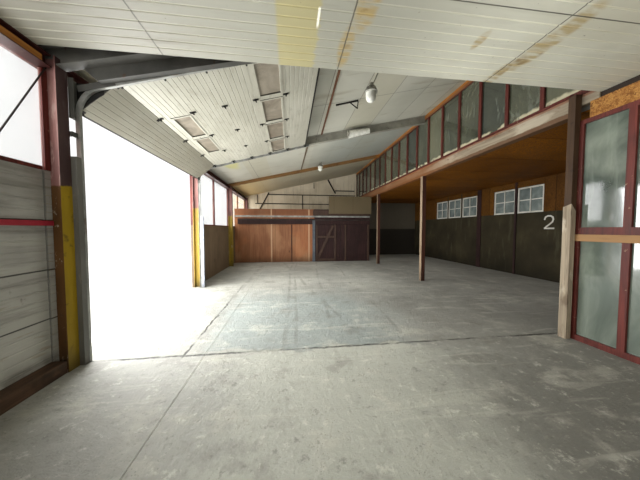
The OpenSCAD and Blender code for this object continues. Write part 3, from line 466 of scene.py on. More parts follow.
def column_paint():
    """Grey-red above, with painted shade on the faces towards the annex, and below it yellow, worn brown on the
    faces towards the front.
    """
    paint = Paint("column_paint", {"Specular IOR Level": 0.25})
    _, y, z = paint.plan
    slow = paint.noise(2.2, 6, (1, 1, 0.4))
    paint.tones(slow, "#5f403c", "#7d5853", "#927069", stops=(0.3, 0.55, 0.75))
    paint.stain("#b39b92", 0.45, 0.56, 0.7, 16, 6, (1, 1, 0.3), 3.0)
    # Painted shade: the faces towards the annex are darkened, as they face away from the door's light.
    paint.over("#201a1c", paint.facing(0, 0.4, 0.8), 0.82)
    red = paint.base
    yellow = paint.ramp(slow, "#6f5b0c", "#927818", "#a68b2b", stops=(0.3, 0.6, 0.8))
    rusty = paint.ramp(slow, "#3d2814", "#5c3f22", "#7a5a33", stops=(0.3, 0.55, 0.75))
    face, far = paint.facing(1, -0.4, -0.8), paint.mask(y, 9.5, 10.0)
    paint.base = paint.mix(yellow, rusty, paint.both(face, (far, 1.0, 0.0)))
    paint.over("#8a763c", far, 0.4)
    chips = paint.cloud(0.6, 0.66, 13, 7, (1, 1, 0.45), 6.0, 0.7)
    paint.over("#b6ae9c", chips, face, 0.6)
    paint.stain("#3a2c1a", 0.6, 0.6, 0.72, 9, 6, shift=9.0)
    paint.over("#2d2418", (z, 0.3, 0.0), 0.6)
    top = paint.maths("ADD", paint.maths("MULTIPLY", far, 0.1), YELLOW_TOP)
    edge = paint.maths("ADD", z, paint.maths("MULTIPLY", paint.noise(14, 3, (1, 1, 0.2)), 0.04))
    paint.over(red, (paint.maths("SUBTRACT", edge, top), 0.01, 0.03))
    paint.bump(chips, -0.0008)
    paint.relief(0.0005, 40, 3)
    return paint.done(slow, 0.5, 0.75)


def wall_panel():
    """Dull ribbed sheet with dark joints between its rows, streaks, smears and rust, and painted shade on the
    faces towards the front.
    """
    paint = sheet_metal("wall_panel", ("#84827b", "#9b9992", "#afaea6"), "#4c4942", 0.5, (1.2, 1.2, 0.5))
    z = paint.plan[2]
    paint.over("#b1b0a5", (z, 1.5, 0.2), 0.6)
    paint.over("#66625a", (z, 1.6, 2.25), 0.4)
    level = paint.noise(1.6, 7, (0.5, 0.5, 7.0), 18.0, 0.62)
    paint.over("#56524a", (level, 0.52, 0.66), 0.4)
    paint.over("#c0beb2", (level, 0.46, 0.36), 0.22)
    paint.stain("#7f7056", 0.6, 0.6, 0.72, 3.0, 6, (1, 0.5, 2.6), 12.0, bend=1.0)
    paint.stain("#3f3226", 0.8, 0.68, 0.74, 5.0, 7, (1, 1, 0.6), 15.0)
    paint.over("#453c31", (z, 0.34, 0.06), paint.cloud(0.35, 0.6, 6, 5), 0.6)
    paint.over("#171512", paint.stripes(2, WALL_ROW, 0.014, KERB), (z, 0.3, 0.35),
               (z, FRONT_WALL_TOP - 0.1, FRONT_WALL_TOP - 0.15), 0.92)
    # Painted shade on the faces towards the front.
    paint.over("#36342f", paint.facing(1, -0.4, -0.8), 0.75)
    return paint.done()


def ceiling_panel():
    """Off-white ribbed sheet: water stains, a yellow-green patch with a painted glint on its edge, painted
    shade and streaks of dirt towards the low wall, and painted light in its grooves.
    """
    paint = Paint("ceiling_panel")
    x, y, z = paint.plan
    tone = paint.noise(0.7, 5, shift=3.0)
    paint.tones(tone, "#989789", "#a09f92", "#a8a79a")
    paint.over("#dcdbcb", (x, 3.3, 4.8))
    paint.stain("#aea68c", 0.35, 0.5, 0.68, 0.55, 4, shift=14.0)
    # Painted shade: the ceiling is darkened towards the low wall; the streaks laid over it are dirt.
    left = paint.mask(x, 2.3, 0.9)
    paint.over("#7c786b", left, 0.5)
    streaks = paint.cloud(0.5, 0.68, 2.4, 7, (0.45, 4.5, 1), 4.0, 0.6, 0.6)
    paint.over("#6b6557", streaks, paint.most(left, 0.2), 0.5)
    paint.over("#a49e8a", (x, 5.0, 6.8), 0.4)
    ragged = paint.sway(x, paint.noise(5, 6, (0.5, 2, 1), 6.0), 0.16)
    paint.over("#aca375", (x, 2.5, 2.54), (ragged, 2.92, 2.88), (y, 5.9, 6.3), 0.85)
    # Painted glint: a thin bright line on the patch's edge.
    paint.over("#fffdf0", paint.line(x, 2.885, 0.014, 0.006), (y, 6.58, 6.62), (y, 6.82, 6.76))
    blots = [paint.near((blot_x, blot_y, EAVE), (wide, far, 1.0), 0.45, 3.5) for blot_x, blot_y, wide, far in (
        (3.28, 6.45, 0.12, 0.5), (3.2, 7.0, 0.09, 0.35), (5.16, 6.7, 0.12, 0.55), (5.08, 7.2, 0.1, 0.3),
        (4.48, 6.75, 0.06, 0.16), (1.9, 2.2, 0.3, 0.6), (4.5, 3.1, 0.4, 0.3))]
    stain = paint.both(paint.most(*blots), paint.cloud(0.3, 0.62, 6, 6, (0.6, 3, 1), 2.0))
    paint.over("#a98d48", stain, 0.7)
    paint.over("#75582a", stain, paint.cloud(0.56, 0.64, 3, 4, shift=8.0), 0.6)
    joints = [paint.line(x, place, 0.009, 0.003) for place in CEILING_JOINTS]
    row = paint.both(paint.line(y, 6.4, 0.008, 0.003), (x, 3.1, 3.2))
    paint.over("#4a463d", paint.most(*joints, row), 0.8)
    paint.stain("#57503f", 0.5, 0.7, 0.75, 30, 4, shift=11.0)
    # Painted light: the base is lightened inside the ribs' grooves to take away their shade.
    groove = paint.both((z, EAVE + 0.0006, EAVE + 0.002), (z, EAVE + 0.02, EAVE + 0.01))
    paint.lift(1.24, groove)
    paint.lift(1.11, groove, (x, 5.6, 4.2))
    paint.lift(1.17, groove, (x, 3.0, 1.6))
    paint.relief(0.006, 0.9, 2, shift=1.0)
    paint.relief(0.0003, 60, 2)
    return paint.done(tone, 0.5, 0.7)


def roof_panel():
    """Stained sheet: joints, a yellow blot, painted warm light under it in the last bays, and moss on top of
    it.
    """
    paint = Paint("roof_panel")
    x, y, _ = paint.plan
    tone = paint.noise(0.6, 5, shift=21.0)
    paint.tones(tone, "#a9a99c", "#b7b7aa", "#c4c3b6")
    board = paint.maths("MULTIPLY", paint.count(x, ROOF_JOINT_START, ROOF_JOINT_PITCH), 0.37)
    bay = paint.maths("MULTIPLY", paint.count(y, 0.0, 3.86), 0.61)
    pick = paint.maths("FRACT", paint.maths("ADD", board, bay))
    paint.over("#c6c4b6", (pick, 0.55, 0.6), 0.35)
    paint.over("#b9b193", (pick, 0.3, 0.25), 0.3)
    under = paint.facing(2, -0.2, -0.5)
    door_bay = paint.both((y, DOOR_FAR + 0.01, DOOR_FAR - 0.01), (x, 3.0, 3.1))
    rear = paint.mask(y, DOOR_FAR - 0.01, DOOR_FAR + 0.01)
    joint = paint.most(
        paint.both(paint.stripes(0, ROOF_JOINT_PITCH, 0.012, ROOF_JOINT_START), door_bay),
        *(paint.both(paint.line(x, place, 0.009, 0.004), rear) for place in REAR_ROOF_JOINTS),
        paint.both(paint.line(y, 9.82, 0.01, 0.004), door_bay))
    paint.over("#4e4a42", joint, under, 0.75)
    paint.over("#8f9792", under, (x, 3.2, 4.6), (y, DOOR_FAR, DOOR_FAR + 0.2), 0.6)
    paint.over("#c2bf74", paint.near((0.75, 12.6, roof(0.75)), (0.3, 0.9, 0.4), 0.4, 2.5), under, 0.7)
    paint.stain("#8a7d62", 0.4, 0.56, 0.72, 2.1, 7, (0.5, 2.2, 1), 6.0, bend=0.5)
    # Painted light: a warm yellow glow on the underside of the last bays.
    warm_lit_bays = paint.both((y, TIMBER - 0.02, TIMBER + 0.02), under)
    paint.over("#b7a784", warm_lit_bays, 0.5)
    paint.over("#d2b269", warm_lit_bays, (x, 2.4, 0.3), 0.6)
    paint.over("#6f7062", paint.facing(2, 0.2, 0.5), paint.cloud(0.5, 0.7, 3, 7, (0.35, 1, 1), 2.0), 0.5)
    paint.bump(paint.both(joint, under), -0.002)
    paint.relief(0.004, 1.2, 2, shift=1.0)
    return paint.done(tone, 0.4, 0.65)


def door_sheet(name, tones, grime):
    """Pale sheet of the raised door, dusty, with painted shade on the edges towards the front."""
    paint = Paint(name)
    tone = paint.noise(1.4, 5, (1, 0.5, 1))
    paint.tones(tone, *tones)
    paint.stain("#726c5e", grime, 0.5, 0.7, 3.4, 7, (3.4, 0.8, 3.4), 5.0, 0.62)
    paint.stain("#4c473d", 0.5, 0.67, 0.74, 34, 4, shift=3.0)
    # Painted shade on the panels' ends that face the front.
    paint.over("#262522", paint.facing(1, -0.4, -0.8), 0.9)
    paint.relief(0.0003, 90, 2)
    return paint.done(tone, 0.38, 0.6)


def galvanised():
    """Dull zinc with pale specks and a little rust."""
    paint = Paint("galvanised", {"Metallic": 0.35})
    paint.tones(paint.noise(5, 6, (1, 0.4, 1)), "#6f706c", "#8b8c87", "#a5a6a1")
    paint.stain("#a5a6a1", 0.3, 0.56, 0.7, 60, 3, shift=7.0)
    paint.stain("#5d4532", 0.6, 0.6, 0.72, 6, 7, shift=3.0)
    paint.relief(0.0005, 45, 3)
    return paint.done(paint.noise(9, 5), 0.35, 0.7)


def painted_steel(name, dark, light, under="#4a3628", metallic=0.0):
    """Painted steel, chipped down to rust."""
    paint = Paint(name, {"Metallic": metallic, "Specular IOR Level": 0.25})
    slow = paint.noise(3.2, 6)
    paint.tones(slow, dark, light)
    paint.chip(under, 0.8, 11.0, 0.6, 0.68)
    paint.relief(0.0004, 50, 3)
    return paint.done(slow, 0.4, 0.7)


def rafter_paint():
    """Darker grey on the near rafters, paler from the door's far frame on."""
    paint = Paint("rafter_paint")
    slow = paint.noise(3.2, 6)
    paint.tones(slow, "#494844", "#6a6963")
    paint.over(paint.ramp(slow, "#74736a", "#9a988b"), (paint.plan[1], 9.0, 9.2))
    paint.chip("#4a3628", 0.7, 9.0, 0.62, 0.7)
    paint.relief(0.0004, 50, 3)
    return paint.done(slow, 0.45, 0.7)


def guard_paint():
    """Dark grey on the near guard, and pale blue-grey on the far one."""
    paint = Paint("guard_paint")
    _, y, z = paint.plan
    slow = paint.noise(3.0, 6, (1, 1, 0.4))
    paint.tones(slow, "#45443f", "#605e58")
    paint.over(paint.ramp(slow, "#848c96", "#a3a9b1"), (y, 9.0, 9.2))
    scuff = paint.cloud(0.58, 0.7, 9, 7, (1, 1, 0.3), 5.0, 0.7)
    paint.over("#7d7769", scuff, 0.5)
    paint.over("#3a332a", (z, 0.25, 0.0), 0.6)
    paint.bump(scuff, -0.0006)
    return paint.done(slow, 0.45, 0.75)


def red_timber():
    """Brown-red painted wood, chipped; the top rail of the high band is bare and orange."""
    paint = timber("red_timber", "#3b1712", "#672f27", 2, 7.0, (0.4, 0.65))
    x, y, z = paint.plan
    paint.chip("#8d7863", 0.7, 9.0, 0.65, 0.69)
    paint.stain("#2a100c", 0.5, 0.55, 0.72, 2.0, 5, shift=7.0)
    high_side = paint.mask(x, 6.0, 6.5)
    paint.over("#7a5130", (z, HIGH_HEAD - 0.07, HIGH_HEAD - 0.06), high_side, 0.9)
    paint.over("#2c1c12", (y, 12.0, 16.0), high_side, 0.5)
    return paint.done()


def rough_timber():
    """The kerb and the joists; the plate over the screen is nearly black, as painted shade."""
    paint = timber("rough_timber", "#33261c", "#5e4737")
    x, _, z = paint.plan
    paint.stain("#2a221a", 0.6, 0.5, 0.66, 4, 6, shift=3.0)
    # Painted shade: the plate in the gap over the screen is made nearly black.
    paint.over("#231c17", (z, 3.3, 3.34), (x, GLAZE_IN - 0.1, GLAZE_IN), 0.85)
    return paint.done()


def dark_board():
    """Dark boards of the rear part of the low wall, with paler patches."""
    paint = timber("dark_board", "#4b3f31", "#7a6750", 2, 8.0)
    paint.stain("#7a6a54", 0.5, 0.58, 0.72, 3, 6, (1, 1, 0.3), 3.0)
    return paint.done()


def orange_timber():
    """Flaky orange board over the screen, a paler strip on it, and a browner rafter."""
    paint = timber("orange_timber", "#7d4d1f", "#b1783a", 1, 8.0)
    x, y, z = paint.plan
    flakes = paint.ramp(paint.flakes(34, (1, 0.5, 1)), "#553110", "#825622", "#aa7f45", stops=(0.15, 0.5, 0.85))
    paint.over(flakes, (z, 3.12, 3.13), (z, 3.37, 3.36), (x, 6.0, 6.5), 0.8)
    paint.over("#8f7250", (z, 1.42, 1.43), (z, 1.54, 1.53), 0.8)
    paint.over("#6b5131", (y, 15.0, 15.2), (x, 6.6, 6.5), 0.85)
    paint.stain("#4f3115", 0.6, 0.58, 0.7, 4, 6, (1, 0.3, 1), 9.0)
    return paint.done()


def post_timber():
    """Dark posts; the slender ones have a pale side towards the low wall, which is painted light, and a
    red-brown face.
    """
    paint = timber("post_timber", "#33241a", "#4b3826", 2)
    _, y, z = paint.plan
    pale = paint.ramp(paint.noise(22, 6, (1, 1, 0.08), 3.0), "#75604c", "#a3917a")
    # Painted light: the slender posts' side towards the low wall is made pale.
    slender, side = paint.mask(y, 9.0, 10.0), paint.facing(0, -0.4, -0.7)
    paint.over("#3c1d17", slender, (side, 1.0, 0.0), 0.7)
    paint.over(pale, slender, side, 0.9)
    paint.stain("#241a14", 0.6, 0.62, 0.72, 8, 6, shift=5.0)
    paint.over("#1c1410", (z, 0.5, 0.0), 0.4)
    return paint.done()


def beam_paint():
    """Grey-white paint worn to brown wood along the edges, and orange-brown towards the rear."""
    paint = timber("beam_paint", "#6a6051", "#988c78", 1, 6.0)
    _, y, z = paint.plan
    worn = paint.noise(5, 7, (1, 0.35, 1), 7.0, 0.7)
    paint.stain("#bab19d", 0.5, 0.5, 0.6, 3, 6, (1, 0.3, 1), 11.0)
    paint.over("#5a3b24", (worn, 0.53, 0.64), 0.7)
    ragged = paint.sway(z, worn, 0.12)
    paint.over("#583a22", (ragged, BEAM_LOW + 0.075, BEAM_LOW + 0.055), 0.85)
    paint.over("#754823", (y, 9.4, 11.8), 0.8)
    paint.over("#7b4228", (z, BEAM_TOP - 0.05, BEAM_TOP - 0.02), 0.6)
    return paint.done()


def pressed_board(name, dark, light):
    """Pressed board of coarse flakes, in sheets that differ a little, with dark seams."""
    paint = Paint(name, {"Specular IOR Level": 0.1})
    grey = paint.flakes(26, (1, 2.6, 1))
    paint.tones(grey, dark, light, stops=(0.2, 0.85))
    paint.stain("#3a210a", 0.45, 0.45, 0.7, 0.8, 5, shift=4.0)
    paint.over(dark, paint.pick(paint.plan[1], -COLUMN_HALF, ANNEX_SHEET), 0.5)
    paint.over("#170d05", paint.stripes(1, ANNEX_SHEET, 0.016, -COLUMN_HALF), 0.85)
    paint.bump(grey, 0.0008)
    return paint.done(grey, 0.5, 0.8)


def annex_wall():
    """Dark olive-grey render, streaked, and darker at its foot."""
    paint = Paint("annex_wall", {"Specular IOR Level": 0.15})
    slow = paint.noise(1.1, 6, shift=2.0)
    paint.tones(slow, "#28241a", "#373224", "#453f2d", stops=(0.3, 0.55, 0.75))
    paint.stain("#4d4937", 0.5, 0.55, 0.7, 2.6, 7, (1, 2.2, 0.4), 6.0)
    paint.over("#171510", (paint.plan[2], 0.7, 0.0), 0.6)
    paint.relief(0.003, 28, 6, shift=3.0)
    paint.relief(0.006, 2.0, 3, shift=3.0)
    return paint.done(slow, 0.7, 0.95)


def roof_felt():
    """Grey felt in laps a metre wide, with green patches."""
    paint = Paint("roof_felt")
    slow, lap = paint.noise(0.8, 6), paint.stripes(1, 1.0, 0.02)
    paint.tones(slow, "#555550", "#76766f")
    paint.over("#3c3c38", lap, 0.8)
    paint.stain("#62664a", 0.5, 0.58, 0.72, 3, 7, shift=6.0)
    paint.relief(0.0012, 160, 2)
    paint.bump(lap, 0.003)
    return paint.done(slow, 0.75, 0.95)


def plywood():
    """Orange-brown sheets with paler cover strips; the one that hangs under the beam is olive."""
    paint = timber("plywood", "#694129", "#8d6244", 2, 5.0, (0.45, 0.7), "#3f2314")
    x, _, z = paint.plan
    paint.stain("#a37b59", 0.5, 0.5, 0.7, 1.2, 5, (1, 1, 0.5), 6.0)
    paint.stain("#a8673f", 0.35, 0.45, 0.6, 0.8, 3, shift=2.0)
    paint.over("#5a3a26", (z, RAIL_TOP, RAIL_TOP + 0.1), 0.55)
    paint.over("#b59475", paint.most(*(paint.line(x, place, 0.034, 0.03) for place in (1.73, 3.56))), 0.85)
    paint.over("#5d5540", (x, 4.3, 4.4), (z, 2.3, 2.36), 0.9)
    paint.over("#3a2012", paint.stripes(0, 0.957, 0.012), 0.7)
    paint.over("#3a2a1c", (z, 0.35, 0.0), 0.5)
    return paint.done()


def end_panel():
    """Pale sheet; the annex's part of it is dark inside, darker still below."""
    paint = sheet_metal("end_panel", ("#b9ad95", "#cdc2aa", "#dbd1bb"), "#7d705a", 0.4)
    x, y, z = paint.plan
    inside = paint.both((x, 6.83, 6.85), (y, 10.0, 10.1), (y, REAR_IN + 0.02, REAR_IN + 0.01))
    paint.over("#4b463b", inside, 0.95)
    paint.over("#1b1712", inside, (z, 1.66, 1.62), 0.9)
    paint.over("#8a7c63", paint.stripes(0, 0.93, 0.014, 0.66), (x, 6.8, 6.7), 0.5)
    return paint.done()


def door_pane():
    """Clouded panes of the raised door, with pale dust."""
    paint, smear = glass("door_pane", ("#6f675a", "#837b6d", "#958d7e"), {"IOR": 1.45})
    paint.stain("#b9bbb0", 0.25, 0.6, 0.75, 40, 4, shift=2.0)
    paint.relief(0.0008, 1.5, 2)
    return paint.done(smear, 0.3, 0.5)


def clear_glass():
    """Clear dusty glass; in the last bay it is yellow and glows as painted light, with a faint lattice behind
    it.
    """
    paint, smear = glass("clear_glass", ("#e9eeee", "#f3f6f5", "#ffffff"),
                         {"Alpha": 0.22, "IOR": 1.45, "Emission Strength": 0.75})
    last = paint.mask(paint.plan[1], TIMBER - 0.02, TIMBER + 0.02)
    lattice = paint.most(paint.stripes(1, 0.34, 0.05), paint.stripes(2, 0.3, 0.05))
    yellow = paint.mix("#f0c24a", "#7d5a1c", paint.both(lattice, 0.8))
    paint.over(yellow, last)
    # Painted light: the yellow panes of the last bay glow.
    paint.join(paint.mix("#000000", yellow, last), paint.shader.inputs["Emission Color"])
    paint.relief(0.0006, 1.5, 2)
    return paint.done(smear, 0.05, 0.25)


def grey_glass():
    """Dusty glass: dark and different from pane to pane in the high band, with painted light at the foot of its
    panes, and paler in the screen.
    """
    paint, smear = glass("grey_glass", ("#30332a", "#454839", "#5c5d4c"), {"Alpha": 0.93, "IOR": 1.9}, 2.2)
    _, y, z = paint.plan
    pick = paint.pick(y, HIGH_FIRST_BAR, HIGH_PITCH)
    paint.over("#6e6d57", (pick, 0.6, 0.9), 0.6)
    paint.over("#262d2a", (pick, 0.35, 0.1), 0.6)
    paint.stain("#858a80", 0.3, 0.56, 0.66, 1.6, 5, (1, 1.5, 0.7), 9.0, bend=2.5)
    # Painted light: a pale ragged band at the foot of the high panes.
    foot = paint.maths("ADD", z, paint.maths("MULTIPLY", paint.noise(6, 5, (1, 1, 0.6), 5.0), 0.12))
    paint.over("#cfc8a8", (foot, 3.72, 3.67), paint.cloud(0.36, 0.46, 3, 4, shift=3.0), 0.85)
    high = paint.base
    clouds = paint.noise(1.3, 6, (1, 1, 0.7), 7.0, bend=1.0)
    paint.tones(clouds, "#3c463f", "#565f56", "#788074")
    paint.stain("#8b9488", 0.3, 0.55, 0.68, 3.0, 5, (1, 2.0, 0.25), 5.0)
    paint.base = paint.mix(high, paint.base, paint.mask(z, 3.45, 3.4))
    paint.relief(0.0012, 0.9, 2)
    return paint.done(smear, 0.03, 0.1)


def annex_glass():
    """Panes of the annex, blue-grey against the daylight."""
    paint, smear = glass("annex_glass", ("#4d5856", "#68736f", "#87928c"), {"Alpha": 0.86, "IOR": 1.45}, 2.4)
    paint.relief(0.0006, 1.5, 2)
    return paint.done(smear, 0.1, 0.35)


def plain_paint(name, dark, light):
    """A small part's finish: slow changes of tone, specks and a faint relief."""
    paint = Paint(name)
    slow = paint.noise(4.0, 5)
    paint.tones(slow, dark, light)
    paint.stain("#453e33", 0.4, 0.64, 0.74, 45, 3, shift=3.0)
    paint.relief(0.0004, 70, 2)
    return paint.done(slow, 0.4, 0.7)


def lamp_enamel():
    """Dusty enamel above, and under the rims pale globes like milk glass."""
    paint = Paint("lamp_enamel")
    x, y, z = paint.plan
    slow = paint.noise(9.0, 5)
    paint.tones(slow, "#54524a", "#8b887c")
    near = paint.both((z, 4.10, 4.08), (y, 10.0, 9.9))
    far = paint.both((z, 4.24, 4.22), (y, 13.0, 13.1))
    tube = paint.both((y, 11.0, 11.1), (y, 11.8, 11.7), (x, 4.3, 4.32))
    paint.over(paint.ramp(slow, "#c9c9be", "#e6e6dd"), paint.most(near, far, tube))
    paint.relief(0.0004, 70, 2)
    return paint.done(slow, 0.15, 0.4)


def worn_wood():
    """Grey-pale bare wood of the sleeve round the end post."""
    paint = timber("worn_wood", "#6f6353", "#a89a84", 2, 8.0)
    paint.stain("#4d3b2b", 0.6, 0.58, 0.7, 6, 6, (1, 1, 0.4), 5.0)
    paint.stain("#c9bfab", 0.5, 0.6, 0.7, 9, 5, (1, 1, 0.3), 2.0)
    return paint.done()


def finishes():
    """Every material of the hall by its slot in the record."""
    made = {make.__name__: make() for make in (
        concrete, column_paint, wall_panel, rough_timber, dark_board, red_timber, clear_glass, grey_glass,
        galvanised, guard_paint, door_pane, roof_panel, rafter_paint, orange_timber, ceiling_panel,
        post_timber, beam_paint, roof_felt, annex_wall, end_panel, plywood, lamp_enamel)}
    for name, make, *values in (
            ("eave_steel", painted_steel, "#2b110f", "#43201c"),
            ("black_steel", painted_steel, "#141413", "#2a2927", "#3c2c20", 0.3),
            ("dark_rail", painted_steel, "#1d1917", "#38302b"),
            ("door_paint", door_sheet, ("#9f9d8f", "#aaa89a", "#b5b3a6"), 0.35),
            ("annex_board", pressed_board, "#57320d", "#a2671f"),
            ("white_frame", plain_paint, "#b5b3a8", "#d6d4ca")):
        made[name] = make(name, *values)
    made["dark_wood"] = timber("dark_wood", "#1d1312", "#3b2624", 2, 8.0).done()
    return made


def dress_nodes():
    """Gives each CAD node its slot's material, and a few nodes one of their own."""
    for part in frame["record"]["subparts"]:
        node = frame["nodes"][part["node"]]
        node.data.materials.clear()
        node.data.materials.append(slots[part["material_slot"]])
    grey_door = door_sheet("door_paint_grey", ("#807d6e", "#8b887a", "#959386"), 0.25)
    frame["nodes"]["door_panel_1"].data.materials[0] = grey_door
    frame["nodes"]["annex_window_glass"].data.materials[0] = annex_glass()
    # Painted shade: the hangers get a darker copy of the steel paint.
    frame["nodes"]["track_hangers"].data.materials[0] = painted_steel("shaded_hanger_steel", "#3b3b38", "#565550")


class Piece:
    """A new piece of the building, put together in the plan's metres and made into one object."""

    def __init__(self, name, slot, paint=None):
        self.name, self.slot, self.paint = name, slot, paint or slots[slot]
        self.mesh = bmesh.new()

    def solid(self, lower, upper):
        """A closed form between two outlines with the same number of points."""
        self.close([[self.mesh.verts.new(at(*point)) for point in ring] for ring in (lower, upper)])

    def close(self, rings):
        """Faces over the first and last ring of points and between the rings."""
        self.mesh.faces.new(list(reversed(rings[0])))
        self.mesh.faces.new(rings[-1])
        count = len(rings[0])
        for below, above in zip(rings, rings[1:]):
            for i in range(count):
                j = (i + 1) % count
                self.mesh.faces.new((below[i], below[j], above[j], above[i]))

    def block(self, low, high):
        """A box between two corners."""
        (x0, y0, z0), (x1, y1, z1) = low, high
        ring = ((x0, y0), (x1, y0), (x1, y1), (x0, y1))
        self.solid([(x, y, z0) for x, y in ring], [(x, y, z1) for x, y in ring])

    def bar(self, start, end, width, depth, side=(0, 1, 0)):
        """A straight bar whose width lies along side."""
        start, end = Vector(start), Vector(end)
        run = (end - start).normalized()
        deep = run.cross(Vector(side)).normalized() * depth / 2
        wide = deep.cross(run).normalized() * width / 2
        corners = (-wide - deep, wide - deep, wide + deep, deep - wide)
        self.solid([start + corner for corner in corners], [end + corner for corner in corners])

    def turned(self, place, axis, profile, sides=8):
        """A round form through (radius, height) steps along an axis."""
        place, axis = Vector(place), Vector(axis).normalized()
        side = axis.orthogonal().normalized()
        other = axis.cross(side)
        turns = [2 * math.pi * i / sides for i in range(sides)]
        spokes = [side * math.cos(turn) + other * math.sin(turn) for turn in turns]
        self.close([[self.mesh.verts.new(at(*(place + axis * height + spoke * radius))) for spoke in spokes]
                    for radius, height in profile])

    def made(self, bevel=0.0015):
        """The finished object, its edges bevelled, riding the building's one body."""
        if bevel:
            bmesh.ops.bevel(self.mesh, geom=self.mesh.edges[:], offset=bevel, segments=1, affect="EDGES")
        bmesh.ops.recalc_face_normals(self.mesh, faces=self.mesh.faces[:])
        data = bpy.data.meshes.new(self.name)
        self.mesh.to_mesh(data)
        self.mesh.free()
        data.materials.append(self.paint)
        piece = bpy.data.objects.new(self.name, data)
        bpy.context.scene.collection.objects.link(piece)
        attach(piece, "root")


def low_wall_trim():
    """Sheet and stile behind the columns' inner flanges, and the red rail between the columns."""
    sheet, stile = Piece("recess_sheets", "wall_panel"), Piece("recess_stiles", "red_timber")
    rib, inner = WALL_ROW / WALL_RIBS, COLUMN_FLANGE + SHEET
    for column, side in ((FRAMES[0], 1), (FRAMES[1], -1), (FRAMES[1], 1), (DOOR_NEAR, -1)):
        near, far = sorted(column + side * reach for reach in (COLUMN_WEB_HALF + 0.001, COLUMN_HALF))
        lip, edge = sorted(column + side * (COLUMN_HALF + reach) for reach in (0.0002, 0.006))
        for k in range(int((FRONT_WALL_TOP - KERB) / rib)):
            foot, head = KERB + k * rib, KERB + k * rib + rib - RIB_GAP
            sheet.block((COLUMN_FLANGE, near, foot), (inner, far, head))
            sheet.block((0.0002, lip, foot), (inner, edge, head))
        stile.block((COLUMN_FLANGE, near, FRONT_WALL_TOP), (0.03, far, EAVE_BEAM_LOW))
    sheet.made()
    stile.made()
    rail = Piece("wall_rail", "red_timber", plain_paint("rail_red", "#7c1824", "#9c2836"))
    for near, far in zip(FRAMES[:2], FRAMES[1:3]):
        for x0, x1, gap in ((inner, inner + 0.014, COLUMN_WEB_HALF + 0.002),
                            (-0.002, inner + 0.0005, COLUMN_HALF + 0.007)):
            rail.block((x0, near + gap, WALL_RAIL_LOW), (x1, far - gap, WALL_RAIL_TOP))
    rail.made(0.003)


def panel_end(node, upper):
    """Middle of a raised door panel's lower or upper end, and the way the panel runs, in x and z."""
    places = [point.co - ORIGIN for point in frame["nodes"][node].data.vertices]
    flat = [Vector((p.x, p.z)) for p in places]
    lowest, highest = min(flat, key=lambda p: p.x), max(flat, key=lambda p: p.x)
    run = (highest - lowest).normalized()
    reach = [p.dot(run) for p in flat]
    edge = max(reach) if upper else min(reach)
    close = [p for p, r in zip(flat, reach) if abs(r - edge) < 0.03]
    return Vector(sum(parts) / len(close) for parts in zip(*close)), run


def door_trim():
    """Seals on the raised door's ends, black plates at its sides as painted shade, and plates at the tracks'
    corners painted dark grey as shade.
    """
    seals = Piece("door_seals", "black_steel")
    for node, upper, width in (("door_panel_1", False, 0.026), ("door_panel_6", True, 0.034)):
        middle, run = panel_end(node, upper)
        place = middle + run * (width / 2 if upper else -width / 2)
        ends = ((place.x, y, place.y) for y in (DOOR_NEAR + 0.20, DOOR_FAR - 0.15))
        seals.bar(*ends, width, 0.03, (run.x, 0, run.y))
    seals.made(0.004)
    # Painted shade: thin black plates by the tracks, where the door's sides lie in shadow.
    shade_plates = Piece("door_side_shade_plates", "black_steel")
    middle, run = panel_end("door_panel_1", False)
    ring = [(SHADE_PLATE_IN, 2.865), (SHADE_PLATE_IN, SHADE_PLATE_TOP), (0.36, SHADE_PLATE_TOP), (0.455, 3.263)]
    ring += [tuple(middle + run * reach) for reach in (0.36, 0.02)]
    for y in (NEAR_TRACK - 0.0035, FAR_TRACK + 0.0005):
        shade_plates.solid([(x, y, z) for x, z in ring], [(x, y + 0.003, z) for x, z in ring])
    shade_plates.made(0.0)
    # Painted shade: the corner plates get a dark grey copy of the steel paint.
    corner = Piece("track_corner_plates", "galvanised", painted_steel("shaded_corner_steel", "#454541", "#64635d"))
    for y0, y1 in ((DOOR_NEAR + COLUMN_HALF, NEAR_TRACK), (FAR_TRACK, DOOR_FAR - COLUMN_HALF)):
        skin = COLUMN_DEPTH + 0.004
        corner.block((COLUMN_DEPTH, y0, CORNER_PLATE_LOW), (skin, y1, EAVE_BEAM_LOW))
        corner.block((skin, y0 + 0.016, CORNER_PLATE_LOW), (0.21, y0 + 0.022, EAVE_BEAM_LOW))
    corner.made(0.001)


